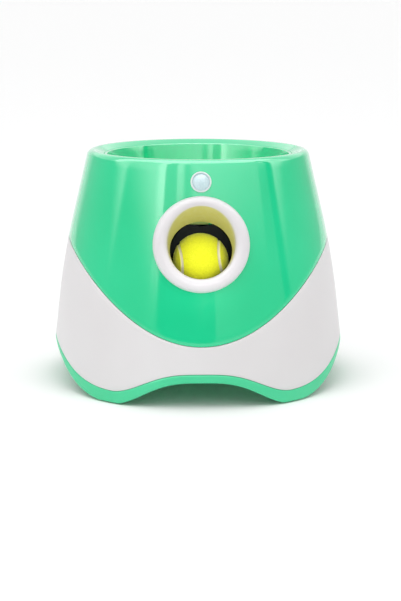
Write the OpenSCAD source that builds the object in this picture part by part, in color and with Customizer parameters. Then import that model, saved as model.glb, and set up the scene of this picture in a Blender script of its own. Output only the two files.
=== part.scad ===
// Automatic ball launcher for dogs: a free-standing cone-shaped housing.
// Balls drop in the bowl on top, roll down a chute into the launch pocket behind the white ring,
// and a spring-driven striker, drawn back by a geared motor, knocks them out at an upward angle.
// Units are millimetres. The origin is on the ground under the middle of the housing, the
// launch ring faces -Y and +Z is up. The striker is drawn as it waits: pulled back, ball loaded.

/* [Housing] */
// Overall height to the crest of the rim
body_h = 215; // [205:1:225]
// Radius of the front wall's cone on the ground
base_r = 154.3; // [148:0.1:160]
// Lean of the cone's wall from the vertical
lean = 13.36; // [11:0.01:15]
// Wall thickness of the moulded shells
wall = 2.5; // [2:0.1:3.5]
// Radius of the rolled edge round the top rim
rim_round = 6; // [4:0.1:7]
// Distance of the bowl's seam inside the middle of the rim's round
seam_in = 10.2; // [9:0.1:13]
// Depth of the seam below the crest of the rim
seam_drop = 4; // [3:0.1:6]
// Distance of each side wall's turning axis beyond the middle
side_axis = 23.2; // [15:0.1:30]
// How far a side wall lies outside the front's cone at the crease's top
side_out = 0.7; // [0:0.1:2]
// Height of the crease's top, where the side walls start
crease_z = 120; // [110:1:130]
// Slope of the side walls, sideways travel for each unit of height
side_slope = 0.1115; // [0.08:0.0005:0.14]
// Assembly gap between moulded parts
fit = 0.3; // [0.2:0.05:0.5]

/* [Colour parting] */
// Height of the parting line between the upper and lower shells, at the middle
parting_z = 54; // [48:0.5:62]
// Rise of the parting line for each square unit of distance from the middle
parting_rise = 0.0054; // [0.0048:0.0001:0.006]
// Height of the tongue that locates the upper shell in the lower one
tongue_h = 5; // [3:0.5:8]

/* [Base and feet] */
// Height of the arch under the front and the back
arch_h = 23; // [18:0.5:28]
// Half width of the arch under the front and the back
arch_half = 81; // [75:0.5:88]
// Height of the arch under each side
side_arch_h = 38; // [30:0.5:39]
// Half width of the arch under each side
side_arch_half = 126; // [118:0.5:130]
// Height of the base band above the ground at the feet
band_foot = 11; // [9:0.5:14]
// Height of the band's top edge at the middle of the front
band_front = 30.2; // [26:0.2:36]
// Height of the band's top edge at the middle of each side
band_side = 41; // [39:0.5:46]
// Top face of the base floor
floor_z = 42; // [40:0.5:48]
// Clearance of the band's lowest edge above the ground
sole_gap = 1; // [0.5:0.1:2]
// Radius of a rubber foot pad
pad_r = 10; // [7:0.5:12]
// Distance of the foot pads from the middle, across
pad_x = 76; // [70:0.5:84]
// Distance of the foot pads from the middle, front to back
pad_y = 113; // [106:0.5:116]
// Thickness of a foot pad
pad_t = 3; // [2:0.5:4]

/* [Bowl] */
// Wall thickness of the bowl
bowl_wall = 2.5; // [2:0.1:3]
// Taper of the bowl's upper wall, radius lost for each unit of depth
bowl_taper = 0.217; // [0.15:0.001:0.3]
// Half angle of the bowl's funnel
funnel_angle = 55; // [50:1:58]
// Backward tilt of the funnel, so that its floor falls to the front
funnel_tilt = 15; // [12:0.5:18]
// Radius of the funnel where it opens into the chute
outlet_r = 29; // [28.5:0.5:31]
// Distance of the outlet's middle behind the waiting ball's centre
outlet_back = 52.6; // [49:0.1:56]
// Height of the outlet's middle above the waiting ball's centre
outlet_rise = 31.9; // [29:0.1:35]

/* [Ball path] */
// Radius of a ball
ball_r = 25.4; // [24.5:0.1:25.8]
// Depth of the waiting ball's centre behind the front wall
ball_depth = 30.5; // [28:0.1:33]
// Height of the waiting ball's centre
ball_z = 123.1; // [121:0.1:126]
// Launch angle above the horizontal
launch_angle = 32; // [30:0.5:34]
// Fall of the chute below the horizontal
chute_angle = 34; // [30:0.5:36]
// Bore radius of the launch tube and of the chute
tube_r = 28; // [27:0.1:29.5]
// Wall thickness of the launch tube and of the chute
tube_wall = 3; // [2:0.1:4]
// Length of tube in front of the ball's centre that belongs to the chamber
tube_front = 17; // [15:0.5:22]

/* [Launch ring] */
// Height of the ring's centre above the waiting ball's centre
ring_rise = 19; // [17:0.1:22]
// Outer radius of the ring
ring_r = 42.9; // [40:0.1:46]
// Radius of the ring's rounded lip
lip_r = 7; // [5:0.1:8]
// Radius of the hole in the shell behind the ring
ring_hole_r = 38; // [36:0.5:39]

/* [Motion sensor] */
// Depth of the sensor's middle below the crest of the rim
sensor_drop = 19; // [16:0.5:24]
// Outer radius of the sensor's trim ring
sensor_r = 9.3; // [8:0.1:11]
// Width of the trim ring's face round the lens
trim_w = 1.6; // [1.2:0.1:2.5]

/* [Striker] */
// Travel of the striker from drawn to struck
stroke = 36; // [30:0.5:38]
// Radius of the striker's head
head_r = 11; // [9:0.1:11.5]
// Thickness of the striker's head
head_t = 5; // [4:0.5:6]
// Thickness of the rubber facing on the striker
facing_t = 2; // [1:0.5:3]
// Half width of the striker's stem
stem_half = 4.5; // [3.5:0.1:5]
// Depth of the stem below the launch axis
stem_drop = 5; // [4:0.1:6]
// Length of the striker's stem behind the head
stem_l = 55; // [50:0.5:58]
// Reach of the spring lug below the launch axis
lug_drop = 17; // [16:0.5:18]

/* [Gears] */
// Module of the rack and its sector
rack_m = 1.5; // [1.25:0.25:1.5]
// Tooth positions on the full circle of the sector
sector_z = 14; // [14:1:14]
// Teeth that the sector keeps
sector_teeth = 10; // [10:1:11]
// Module of the drive wheel and its pinion
wheel_m = 1; // [0.9:0.05:1]
// Teeth of the drive wheel
wheel_z = 48; // [44:4:48]
// Teeth of the idler's pinion
pinion_z = 12; // [12:1:14]
// Module of the idler's wheel and of the motor pinion
motor_m = 0.8; // [0.7:0.05:0.8]
// Teeth of the idler's wheel
idler_z = 40; // [36:1:42]
// Teeth of the motor pinion
motor_z = 10; // [10:1:12]
// Pressure angle of all the gears
pressure = 25; // [25:1:25]
// Backlash taken from each tooth, measured along the pitch circle
backlash = 0.12; // [0.08:0.01:0.2]
// Distance of the sector's axis behind the ball's centre, along the launch axis
sector_s = 78; // [76:0.5:80]
// Height of the rack's pitch line above the launch axis
rack_line = 7; // [6.5:0.1:7.5]
// Direction of the idler's axis seen from the sector's axis
idler_dir = 60; // [55:1:65]
// Direction of the motor's axis seen from the idler's axis
motor_dir = 45; // [40:1:55]

/* [Mechanism frame] */
// Distance between the inner faces of the two frame plates
plate_gap = 24; // [24:0.5:28]
// Thickness of a frame plate
plate_t = 3; // [2.5:0.1:4]
// Radius of the drive shaft
shaft_r = 3; // [2.5:0.1:3.5]
// Radius of the idler's axle
axle_r = 2.5; // [2:0.1:3]
// Radius of the motor's spindle
spindle_r = 1.2; // [1:0.1:1.5]
// Radial running clearance of shafts and axles
running = 0.05; // [0.03:0.01:0.09]
// Radius of the motor's can
motor_r = 12; // [10:0.5:13]
// Length of the motor's can
motor_l = 38; // [30:1:42]

/* [Springs] */
// Radius of a spring's coil, to the middle of the wire
coil_r = 2.2; // [1.8:0.1:2.3]
// Radius of the spring wire
wire_r = 0.4; // [0.3:0.05:0.5]
// Distance of each spring from the middle plane
spring_x = 8; // [7.6:0.1:8.4]
// Turns of a spring's coil
spring_turns = 24; // [16:1:24]

/* [Power and controls] */
// Radius of a battery cell
cell_r = 13.1; // [12:0.1:13.2]
// Length of a battery cell
cell_l = 50; // [48:0.5:50]
// Rows of battery cells
cell_rows = 3; // [3:1:3]
// Half width of the control panel
panel_half = 36; // [32:0.5:38]
// Height of the control panel's middle
panel_z = 100; // [96:0.5:106]
// Height of the control panel
panel_h = 54; // [48:0.5:58]
// Radius of a push button
button_r = 7; // [5:0.1:8]
// Travel of a push button
button_travel = 1.2; // [0.8:0.1:1.6]
// Radius of the power inlet's opening
jack_r = 3.6; // [3:0.1:4]

/* [Hidden] */
$fn = 96;
steps = 40;
eps = 0.01;
mint = "#3FD79A";
white = "#E9E8EA";
// Cone of the front and back walls
slope = tan(lean);
function wall_r(z) = base_r - slope * z;
side_reach = wall_r(crease_z) + side_out;
function side_r(z) = side_axis + side_reach + side_slope * (crease_z - z);
// A wall's inset measured square to it becomes this much across
cone_inset = 1 / cos(lean);
// Rolled rim: centre of its round and the angle where it turns to the seam
rim_cz = body_h - rim_round;
rim_cr = wall_r(rim_cz) - rim_round * cone_inset;
seam_r = rim_cr - seam_in;
seam_z = body_h - seam_drop;
rim_far = norm([seam_r - rim_cr, seam_z - rim_cz]);
rim_end = atan2(seam_z - rim_cz, seam_r - rim_cr) - acos(rim_round / rim_far);
ledge_z = seam_z - 8;
shoulder = 1.7;
// Places that follow the front wall
ball_y = wall_r(ball_z) - ball_depth;
outlet_y = ball_y - outlet_back;
outlet_z = ball_z + outlet_rise;
ring_z = ball_z + ring_rise;
sensor_z = body_h - sensor_drop;
lens_r = sensor_r - trim_w;
barrel_r = lens_r + 0.8;
// Launch frame: s runs back down the launch axis, h is square to it
seat_lift = tube_r - ball_r - fit;
tube_out = tube_r + tube_wall;
chute_out = tube_out + 0.4;
chute_in = chute_out - tube_wall;
pocket_end = ball_r + 0.5;
chute_l = 75;
clamp_s = [-4, 11];
clamp_half = 4;
tube_end = pocket_end + tube_wall;
// Depth of the ring's collar behind the wall
ring_boss = 9;
// Striker places along s, as drawn
struck_s = ball_r + fit + facing_t;
head_s = struck_s + stroke;
stem_end = head_s + head_t + stem_l;
lug_s = stem_end - 4;
// Gear geometry
sector_pr = rack_m * sector_z / 2;
sector_h = rack_line + sector_pr;
wheel_pr = wheel_m * wheel_z / 2;
pinion_pr = wheel_m * pinion_z / 2;
idler_pr = motor_m * idler_z / 2;
motor_pr = motor_m * motor_z / 2;
idler_s = sector_s + (wheel_pr + pinion_pr) * cos(idler_dir);
idler_h = sector_h + (wheel_pr + pinion_pr) * sin(idler_dir);
motor_s = idler_s + (idler_pr + motor_pr) * cos(motor_dir);
motor_h = idler_h + (idler_pr + motor_pr) * sin(motor_dir);
// Layers across the mechanism
plate_in = plate_gap / 2;
plate_out = plate_in + plate_t;
wheel_x = plate_out + 1;
wheel_t = 5;
idler_x = wheel_x + wheel_t + 1;
idler_t = 4;
cover_x = idler_x + idler_t + 2;
cover_t = 2;
gear_face = 9;
bush_r = shaft_r + 2.5;
anchor_s = head_s - 26;
spring_h = -13;
// Spacer places in the launch frame, as [s, h]
spacer_at = [[50, 24], [106, 28], [142, 1]];
spacer_r = 3.5;
// Feet of the frame plates on the floor, behind the middle of the stem's tail
foot_y = -ball_y + 106;
foot_half = 15;
foot_w = 9;
// Battery well, below the base floor
cell_pitch = 2 * cell_r + 0.6;
well_x = cell_l + 6;
well_y = cell_pitch * cell_rows / 2 + 1.5;
well_mid_y = 12;
door_t = 2;
grip_half = 9;
well_bottom = 8;
door_z = well_bottom + 1.3;
cell_z = door_z + door_t + fit + cell_r;
// Screw bosses of the lower shell
boss_x = 98;
boss_y = 70;
boss_r = 5;
// Flank points of a gear tooth, and the gear cover's posts as [s, h]
flank = 4;
cover_posts_at = [[54, 34], [122, 46], [84, -12]];
// Rear panel
panel_back = wall + 2.1;
button_seat = panel_back + 0.3 + fit;
board_depth = panel_back + 11.4;
button_turn = 8.5;
button_z = panel_z + 8;
light_r = 1.5;
inlet_r = 5.5;
// Main board, set off from the back wall
board_x = 32;
board_y1 = base_r - 38.3;
board_y0 = board_y1 - 42;
post_h = 6;

function arch(x, half, height, power) =
  abs(x) >= half ? 0 : height * (0.5 + 0.5 * cos(180 * pow(abs(x) / half, power)));
function front_shape(x) = arch(x, arch_half, 1, 1.5);
function side_shape(y) = arch(y, side_arch_half, 1, 1.13);
function lower_front(x) = max(sole_gap, arch_h * front_shape(x));
function lower_side(y) = max(sole_gap, side_arch_h * side_shape(y));
function band_top_front(x) = band_foot + (band_front - band_foot) * front_shape(x);
function band_top_side(y) = band_foot + (band_side - band_foot) * side_shape(y);
function parting(x) = parting_z + parting_rise * x * x;

// Places things by the launch axis: local X is s, local Y is h, local Z is the housing's X
module launch_frame() {
  translate([0, -ball_y, ball_z]) rotate([-launch_angle, 0, 0]) rotate([90, 0, 90]) children();
}

// A cylinder along the launch axis from s0 to s1, lifted by h
module along_launch(s0, s1, r, h = 0) {
  launch_frame() translate([s0, h, 0]) rotate([0, 90, 0]) cylinder(h = s1 - s0, r = r);
}

// A cylinder along the chute's axis, measured back and up from the waiting ball
module along_chute(t0, t1, r, lift = 0) {
  translate([0, -ball_y, ball_z]) rotate([chute_angle, 0, 0])
    translate([0, t0, lift]) rotate([-90, 0, 0]) cylinder(h = t1 - t0, r = r);
}

// Puts local Z along the wall's outward normal and local Y up; turn 0 is the back, 180 the front
module on_wall(turn, z) {
  rotate([0, 0, turn]) translate([0, wall_r(z), z]) rotate([lean - 90, 0, 0])
    rotate([0, 0, 180]) children();
}

module cone_solid(inset, top) {
  r = -inset * cone_inset;
  rotate_extrude() polygon([[0, 0], [base_r + r, 0], [wall_r(top) + r, top], [0, top]]);
}

module rimmed_cone() {
  rotate_extrude() polygon(concat(
    [[0, 0], [base_r, 0]],
    [for (i = [0 : 9]) let (a = lean + (rim_end - lean) * i / 9)
      [rim_cr + rim_round * cos(a), rim_cz + rim_round * sin(a)]],
    [[seam_r, seam_z], [0, seam_z]]));
}

// The housing's outline below the rim, drawn in square to its walls
module envelope(inset) {
  intersection() {
    cone_solid(inset, ledge_z - wall);
    side_wall(0, inset);
    side_wall(1, inset);
  }
}

// A side wall: a cone on an axis beyond the middle, which flattens the housing's side
module side_wall(m, inset) {
  height = body_h + 10;
  mirror([m, 0, 0]) translate([side_axis, 0, 0])
    cylinder(h = height, r1 = side_r(0) - inset, r2 = side_r(height) - inset);
}

// Everything below a height that varies across the housing, as a prism from front to back
module under_front(heights, low) {
  rotate([90, 0, 0]) translate([0, 0, -200]) linear_extrude(height = 400)
    polygon(concat([[170, low], [-170, low]], heights));
}

// The same, as a prism from side to side
module under_side(heights, low) {
  rotate([90, 0, 90]) translate([0, 0, -200]) linear_extrude(height = 400)
    polygon(concat([[170, low], [-170, low]], heights));
}

module under_parting(drop) {
  under_front([for (i = [-steps / 2 : steps / 2]) let (x = 170 * 2 * i / steps)
    [x, parting(x) - drop]], -10);
}

module under_band(lift) {
  under_front([for (i = [-steps / 2 : steps / 2]) let (x = 2 * arch_half * i / steps)
    [x == -arch_half ? -170 : x == arch_half ? 170 : x, band_top_front(x) + lift]], -10);
  under_side([for (i = [-steps / 2 : steps / 2]) let (y = 2 * side_arch_half * i / steps)
    [y == -side_arch_half ? -170 : y == side_arch_half ? 170 : y, band_top_side(y) + lift]], -10);
}

module under_arches() {
  under_front([for (i = [-steps / 2 : steps / 2]) let (x = 2 * arch_half * i / steps)
    [x == -arch_half ? -170 : x == arch_half ? 170 : x, lower_front(x)]], -10);
  under_side([for (i = [-steps / 2 : steps / 2]) let (y = 2 * side_arch_half * i / steps)
    [y == -side_arch_half ? -170 : y == side_arch_half ? 170 : y, lower_side(y)]], -10);
}

// Solid that the bowl fills, grown or shrunk square to its walls
module bowl_solid(grow, top) {
  upper = seam_r - fit + grow;
  intersection() {
    rotate_extrude() polygon([
      [0, outlet_z - 40], [upper - bowl_taper * (seam_z - outlet_z + 40), outlet_z - 40],
      [upper - bowl_taper * (seam_z - top), top], [0, top]]);
    translate([0, -outlet_y, outlet_z]) rotate([-funnel_tilt, 0, 0])
      translate([0, 0, -(grow + bowl_wall) / sin(funnel_angle)])
      cylinder(h = 90, r1 = outlet_r, r2 = outlet_r + 90 * tan(funnel_angle));
  }
}

module upper_shell() {
  color(mint) {
    difference() {
      intersection() {
        rimmed_cone();
        side_wall(0, 0);
        side_wall(1, 0);
      }
      envelope(wall);
      under_parting(0);
      rim_hollow();
      // opening for the bowl, with the ledge that carries its shoulder
      translate([0, 0, ledge_z]) cylinder(h = 20, r = seam_r);
      translate([0, 0, ledge_z - wall - 1]) cylinder(h = 25, r = seam_r - shoulder + fit);
      on_wall(180, ring_z) translate([0, 0, -30]) cylinder(h = 40, r = ring_hole_r);
      on_wall(180, sensor_z) translate([0, 0, -10]) cylinder(h = 20, r = barrel_r + fit / 2);
      panel_prism(0);
    }
    tongue();
  }
}

// Space inside the rolled rim, open below
module rim_hollow() {
  low = ledge_z - wall - 1;
  skin = wall * cone_inset;
  rotate_extrude() polygon([
    [seam_r + wall, low], [wall_r(low) - skin, low], [wall_r(rim_cz) - skin, rim_cz],
    [rim_cr, body_h - wall], [seam_r + wall, seam_z - wall + 1]]);
}

// Lip that locates the upper shell inside the lower one
module tongue() {
  difference() {
    intersection() {
      envelope(wall - 0.1);
      under_parting(-4);
    }
    envelope(2 * wall);
    under_parting(tongue_h);
    difference() {
      under_parting(0);
      envelope(wall + fit);
    }
  }
}

// Rounded window for the control panel, cut straight through the back wall
module panel_prism(inset) {
  half = panel_half - inset;
  high = panel_h / 2 - inset;
  corner = 6 - inset;
  translate([0, 60, panel_z]) rotate([-90, 0, 0]) linear_extrude(height = 120) union() {
    square([2 * half, 2 * (high - corner)], center = true);
    square([2 * (half - corner), 2 * high], center = true);
    for (x = [-1, 1], y = [-1, 1])
      translate([x * (half - corner), y * (high - corner)]) circle(r = corner);
  }
}

module at_bosses(z) {
  for (x = [-1, 1], y = [-1, 1]) translate([x * boss_x, y * boss_y, z]) children();
}

module lower_shell() {
  color(white) {
    difference() {
      intersection() {
        envelope(0);
        under_parting(fit);
      }
      envelope(wall);
      under_band(fit);
    }
    // screw bosses, each tied to the wall by a rib
    intersection() {
      envelope(wall / 2);
      union() for (x = [-1, 1], y = [-1, 1]) {
        translate([x * boss_x, y * boss_y, floor_z]) difference() {
          union() {
            cylinder(h = 22, r = boss_r);
            rotate([0, 0, atan2(y * boss_y, x * boss_x)])
              translate([0, -1.25, 0]) cube([40, 2.5, 22]);
          }
          translate([0, 0, -1]) cylinder(h = 16, r = 1.5);
        }
      }
    }
  }
}

module base() {
  color(mint) difference() {
    union() {
      difference() {
        union() {
          intersection() {
            envelope(0);
            union() under_band(0);
          }
          intersection() {
            envelope(wall + fit);
            translate([-200, -200, 0]) cube([400, 400, floor_z]);
          }
        }
        intersection() {
          envelope(2 * wall + fit);
          translate([-200, -200, -1]) cube([400, 400, floor_z + 1 - wall]);
        }
        under_arches();
      }
      foot_blocks();
      well_box();
    }
    // battery well, open below for its door
    translate([-well_x, well_mid_y - well_y, well_bottom - 5])
      cube([2 * well_x, 2 * well_y, floor_z - wall - well_bottom + 5]);
    door_groove();
    at_bosses(floor_z - 20) cylinder(h = 40, r = 1.9);
    for (m = [0, 1]) mirror([m, 0, 0]) at_foot_screws() translate([0, 0, -wall - 1])
      cylinder(h = wall + 2, r = 1.3);
    foot_recesses();
  }
}

// Solid soles in the four feet, where the rubber pads seat
module foot_blocks() {
  intersection() {
    envelope(wall + fit);
    union() for (x = [-1, 1], y = [-1, 1]) translate([x * pad_x, y * pad_y, 0])
      difference() {
        translate([0, 0, pad_t - 1]) cylinder(h = floor_z - pad_t, r = pad_r + 4);
        translate([0, 0, pad_t + 2.5]) cylinder(h = floor_z, r = pad_r + 1.5);
      }
  }
}

module foot_recesses() {
  for (x = [-1, 1], y = [-1, 1]) translate([x * pad_x, y * pad_y, -1])
    cylinder(h = pad_t + 1, r = pad_r + fit);
}

module foot_pads() {
  color("#303234") for (x = [-1, 1], y = [-1, 1]) translate([x * pad_x, y * pad_y, 0]) {
    cylinder(h = 1, r1 = pad_r - 1, r2 = pad_r);
    translate([0, 0, 1]) cylinder(h = pad_t - 1, r = pad_r);
  }
}

module well_box() {
  w = well_x + wall;
  d = well_y + wall;
  translate([-w, well_mid_y - d, well_bottom]) cube([2 * w, 2 * d, floor_z - well_bottom]);
}

// Groove that the door slides in, open at the back with a notch for the door's grips
module door_groove() {
  translate([-well_x - 1.2, well_mid_y - well_y - 1.2, well_bottom + 1])
    cube([2 * well_x + 2.4, 2 * well_y + 20, door_t + 0.6]);
  translate([-grip_half - 2, well_mid_y, well_bottom - 1])
    cube([2 * grip_half + 4, well_y + 20, 3]);
}

module battery_door() {
  color(mint) union() {
    translate([-well_x - 0.9, well_mid_y - well_y - 0.9, door_z])
      cube([2 * well_x + 1.8, 2 * well_y + wall + 0.9, door_t]);
    for (i = [0 : 3]) translate([-grip_half, well_mid_y + well_y - 14 + 4 * i, door_z - 0.9])
      cube([2 * grip_half, 1.6, 1]);
  }
}

module bowl() {
  color(mint) difference() {
    union() {
      bowl_solid(0, ledge_z + eps);
      translate([0, 0, ledge_z]) cylinder(h = seam_z - ledge_z, r = seam_r - fit);
    }
    bowl_solid(-bowl_wall, seam_z + 5);
    translate([0, 0, outlet_z - 60]) cylinder(h = 45, r = 100);
    along_chute(-10, chute_l - 5, chute_in, seat_lift);
    translate([0, -outlet_y, outlet_z]) rotate([-funnel_tilt, 0, 0])
      translate([0, 0, -30]) cylinder(h = 32, r = outlet_r);
  }
}

module launch_ring() {
  mid_r = ring_r - lip_r;
  color("#F4F3F4") difference() {
    union() {
      difference() {
        on_wall(180, ring_z) {
          translate([0, 0, -22]) cylinder(h = 22, r = ring_r);
          rotate_extrude() translate([mid_r, 0]) circle(r = lip_r);
          cylinder(h = 3, r = mid_r);
        }
        envelope(-0.05);
      }
      on_wall(180, ring_z) translate([0, 0, -ring_boss])
        cylinder(h = ring_boss + 1, r = ring_hole_r - fit);
      difference() {
        along_launch(-75, -tube_front, tube_out, seat_lift);
        on_wall(180, ring_z) cylinder(h = 60, r = 60);
      }
    }
    along_launch(-90, 0, tube_r, seat_lift);
  }
}

// Launch tube and chute as one hollow elbow, open behind the ball for the striker
module chamber_form() {
  difference() {
    union() {
      along_launch(-tube_front, tube_end, tube_out, seat_lift);
      along_chute(0, chute_l, chute_out, seat_lift);
      at_clamps() translate([0, 0, -clamp_half]) cylinder(h = 2 * clamp_half, r = 4.5);
      at_clamps() translate([-4.5, 0, -clamp_half]) cube([9, 6, 2 * clamp_half]);
    }
    at_clamps() translate([0, 0, -20]) cylinder(h = 40, r = 1.35);
    along_launch(-tube_front - 1, pocket_end, tube_r, seat_lift);
    along_chute(0, chute_l + 15, chute_in, seat_lift);
    along_launch(0, 60, head_r + 1);
    bowl_solid(0.1, body_h + 40);
    // the ring's sleeve and collar take over in front
    launch_frame() translate([-100, -60, -60]) cube([100 - tube_front, 120, 120]);
    on_wall(180, ring_z) translate([0, 0, -ring_boss - fit]) cylinder(h = 60, r = 70);
  }
}

// Lugs that the two halves are screwed together by, their local Y towards the tube
module at_clamps() {
  for (s = clamp_s) launch_frame()
    translate([s, seat_lift - tube_out - 3.5, 0]) children();
}

module chamber_half(m) {
  color("#D9DADB") intersection() {
    chamber_form();
    mirror([m, 0, 0]) translate([0, -200, 0]) cube([80, 300, 260]);
  }
}

module chamber_left() {
  chamber_half(1);
}

module chamber_right() {
  chamber_half(0);
}

module ball() {
  color("#E4EE1C") translate([0, -ball_y, ball_z]) sphere(r = ball_r);
}

module sensor_ring() {
  color("#E3E7EE") on_wall(180, sensor_z) difference() {
    union() {
      cylinder(h = 1.6, r = sensor_r);
      translate([0, 0, -4]) cylinder(h = 4.5, r = barrel_r);
    }
    translate([0, 0, -5]) cylinder(h = 10, r = lens_r);
  }
}

module sensor_lens() {
  edge = lens_r - 0.05;
  rise = 3.4;
  dome = (edge * edge + rise * rise) / (2 * rise);
  color("#DCE6F2") on_wall(180, sensor_z) {
    translate([0, 0, -3]) cylinder(h = 4, r = edge);
    intersection() {
      translate([0, 0, 1 + rise - dome]) sphere(r = dome);
      translate([0, 0, 1 - eps]) cylinder(h = 9, r = edge);
    }
  }
}

module sensor_board() {
  color("#2E7D4F") on_wall(180, sensor_z) {
    translate([-10, -10, -6.6]) cube([20, 20, 1.6]);
    color("#C9CCD0") translate([0, 0, -5]) cylinder(h = 1.7, r = 4);
  }
}

// Involute tooth: half of its angle at a radius
function inv_deg(a) = tan(a) * 180 / PI - a;
function tooth_half(z, m, r) =
  let (rb = m * z / 2 * cos(pressure), a = r > rb ? acos(rb / r) : 0)
  90 / z - backlash * 90 / (PI * m * z) + inv_deg(pressure) - inv_deg(a);
function root_r(z, m) = m * z / 2 - 1.15 * m;
function tip_r(z, m) = m * z / 2 + 0.9 * m;
function flank_r(z, m, j) =
  let (low = max(root_r(z, m), m * z / 2 * cos(pressure)))
  j == 0 ? root_r(z, m) : low + (tip_r(z, m) - low) * (j - 1) / (flank - 1);
function tooth_points(z, m, at) = concat(
  [for (j = [0 : flank]) let (r = flank_r(z, m, j), a = at - tooth_half(z, m, r))
    [r * cos(a), r * sin(a)]],
  [for (j = [flank : -1 : 0]) let (r = flank_r(z, m, j), a = at + tooth_half(z, m, r))
    [r * cos(a), r * sin(a)]]);

// Gear outline with its first tooth at the angle named by start; only the kept teeth stand
module gear_outline(z, m, start, keep) {
  polygon([for (i = [0 : z - 1]) each
    i < keep ? tooth_points(z, m, start + 360 * i / z)
      : [for (k = [-1, 0, 1]) let (a = start + 360 * (i + k / 3) / z)
        root_r(z, m) * [cos(a), sin(a)]]]);
}

module gear(z, m, start, face, keep = 0) {
  linear_extrude(height = face) gear_outline(z, m, start, keep == 0 ? z : keep);
}

module striker() {
  pitch = PI * rack_m;
  half = pitch / 4 - backlash / 2;
  tall = 0.9 * rack_m;
  deep = 1.15 * rack_m;
  first = ceil((head_s + head_t + 4 - sector_s) / pitch - 0.5);
  last = floor((stem_end - 3 - sector_s) / pitch - 0.5);
  color("#3A3D40") launch_frame() difference() {
    union() {
      translate([head_s, 0, 0]) rotate([0, 90, 0]) cylinder(h = head_t, r = head_r);
      translate([head_s + 1, -stem_drop, -stem_half])
        cube([stem_end - head_s - 1, stem_drop + rack_line - deep, 2 * stem_half]);
      translate([0, 0, -stem_half]) linear_extrude(height = 2 * stem_half)
        for (n = [first : last]) translate([sector_s + (n + 0.5) * pitch, rack_line])
          polygon([
            [-half - deep * tan(pressure), -deep - eps], [half + deep * tan(pressure), -deep - eps],
            [half - tall * tan(pressure), tall], [tall * tan(pressure) - half, tall]]);
      translate([lug_s, -lug_drop, -spring_x - 3])
        cube([4, lug_drop - stem_drop + 2, 2 * spring_x + 6]);
    }
    for (x = [-1, 1]) translate([lug_s - 1, spring_h, x * spring_x]) rotate([0, 90, 0])
      cylinder(h = 6, r = wire_r + 0.6);
  }
}

module striker_facing() {
  color("#202224") along_launch(head_s - facing_t, head_s, head_r - 0.6);
}

// Extension spring along s: one tube whose ends run straight into its anchors
spring_s0 = anchor_s + 2.6;
spring_s1 = lug_s - 0.6;
spring_rings = spring_turns * 8;
function unit(v) = v / norm(v);
function ramp(x) = x >= 1 ? 1 : x * x * (3 - 2 * x);
function spring_at(i) =
  let (n = spring_rings, k = max(0, min(n, i)), a = 360 * spring_turns * k / n,
    r = coil_r * ramp(min(k, n - k) * spring_turns / n))
  [spring_s0 + (spring_s1 - spring_s0) * k / n + (i - k) * 2 * wire_r, r * cos(a), r * sin(a)];
function spring_ring(i, sides) =
  let (a = 360 * spring_turns * max(0, min(spring_rings, i)) / spring_rings,
    along = unit(spring_at(i + 1) - spring_at(i - 1)), out = [0, cos(a), sin(a)],
    normal = unit(out - (out * along) * along), side = cross(along, normal))
  [for (k = [0 : sides - 1]) let (b = 360 * k / sides)
    spring_at(i) + wire_r * (cos(b) * normal + sin(b) * side)];
echo(least_spring_gap = min([for (i = [0 : spring_rings - 11], j = [5 : 11])
  norm(spring_at(i + j) - spring_at(i)) - 2 * wire_r]));

module spring(x) {
  sides = 6;
  count = spring_rings + 3;
  color("#B9BDC2") launch_frame() translate([0, spring_h, x]) polyhedron(
    points = [for (i = [-1 : spring_rings + 1]) each spring_ring(i, sides)],
    faces = concat(
      [for (i = [0 : count - 2], k = [0 : sides - 1], f = [0, 1])
        let (a = i * sides + k, b = i * sides + (k + 1) % sides)
        f == 0 ? [a, b + sides, b] : [a, a + sides, b + sides]],
      [[for (k = [0 : sides - 1]) k]],
      [[for (k = [sides - 1 : -1 : 0]) (count - 1) * sides + k]]));
}

module spring_left() {
  spring(-spring_x);
}

module spring_right() {
  spring(spring_x);
}

module plate_outline(tall) {
  polygon(concat(
    [[24, -21], [150, -21], [150, 4], [138, 12]],
    tall ? [[130, 40], [128, 66], [118, 74], [98, 74], [80, 58], [66, 46], [50, 42], [36, 34]]
      : [[122, 34], [66, 36], [36, 34]]));
}

module frame_plate(tall) {
  difference() {
    linear_extrude(height = plate_t) plate_outline(tall);
    translate([sector_s, sector_h, -1]) cylinder(h = plate_t + 2, r = bush_r);
    for (p = spacer_at) translate([p[0], p[1], -1]) cylinder(h = plate_t + 2, r = 1.6);
    if (tall) {
      translate([idler_s, idler_h, -1]) cylinder(h = plate_t + 2, r = axle_r);
      translate([motor_s, motor_h, -1]) cylinder(h = plate_t + 2, r = spindle_r + 2);
      translate([motor_s, motor_h, -1]) at_motor_screws() cylinder(h = plate_t + 2, r = 1.3);
    }
  }
}

// What the frame plates stand on and lean against
module frame_trim() {
  translate([-50, -200, -1]) cube([100, 400, floor_z + 1]);
  along_chute(-30, 90, chute_out, seat_lift);
  along_launch(-60, tube_end, tube_out, seat_lift);
}

// Flange that a plate is screwed to the floor by
module plate_foot() {
  difference() {
    translate([plate_out - eps, foot_y - foot_half, floor_z]) cube([foot_w, 2 * foot_half, 2.5]);
    at_foot_screws() translate([0, 0, -1]) cylinder(h = 5, r = 1.6);
  }
}

module at_foot_screws() {
  for (y = [-1, 1]) translate([plate_out + foot_w - 4, foot_y + y * (foot_half - 5), floor_z])
    children();
}

module frame_plate_left() {
  color("#AEB4BA") difference() {
    union() {
      launch_frame() translate([0, 0, -plate_out]) frame_plate(false);
      mirror([1, 0, 0]) plate_foot();
    }
    frame_trim();
  }
}

module frame_plate_right() {
  color("#AEB4BA") difference() {
    union() {
      launch_frame() translate([0, 0, plate_in]) frame_plate(true);
      plate_foot();
    }
    frame_trim();
  }
}

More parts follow.
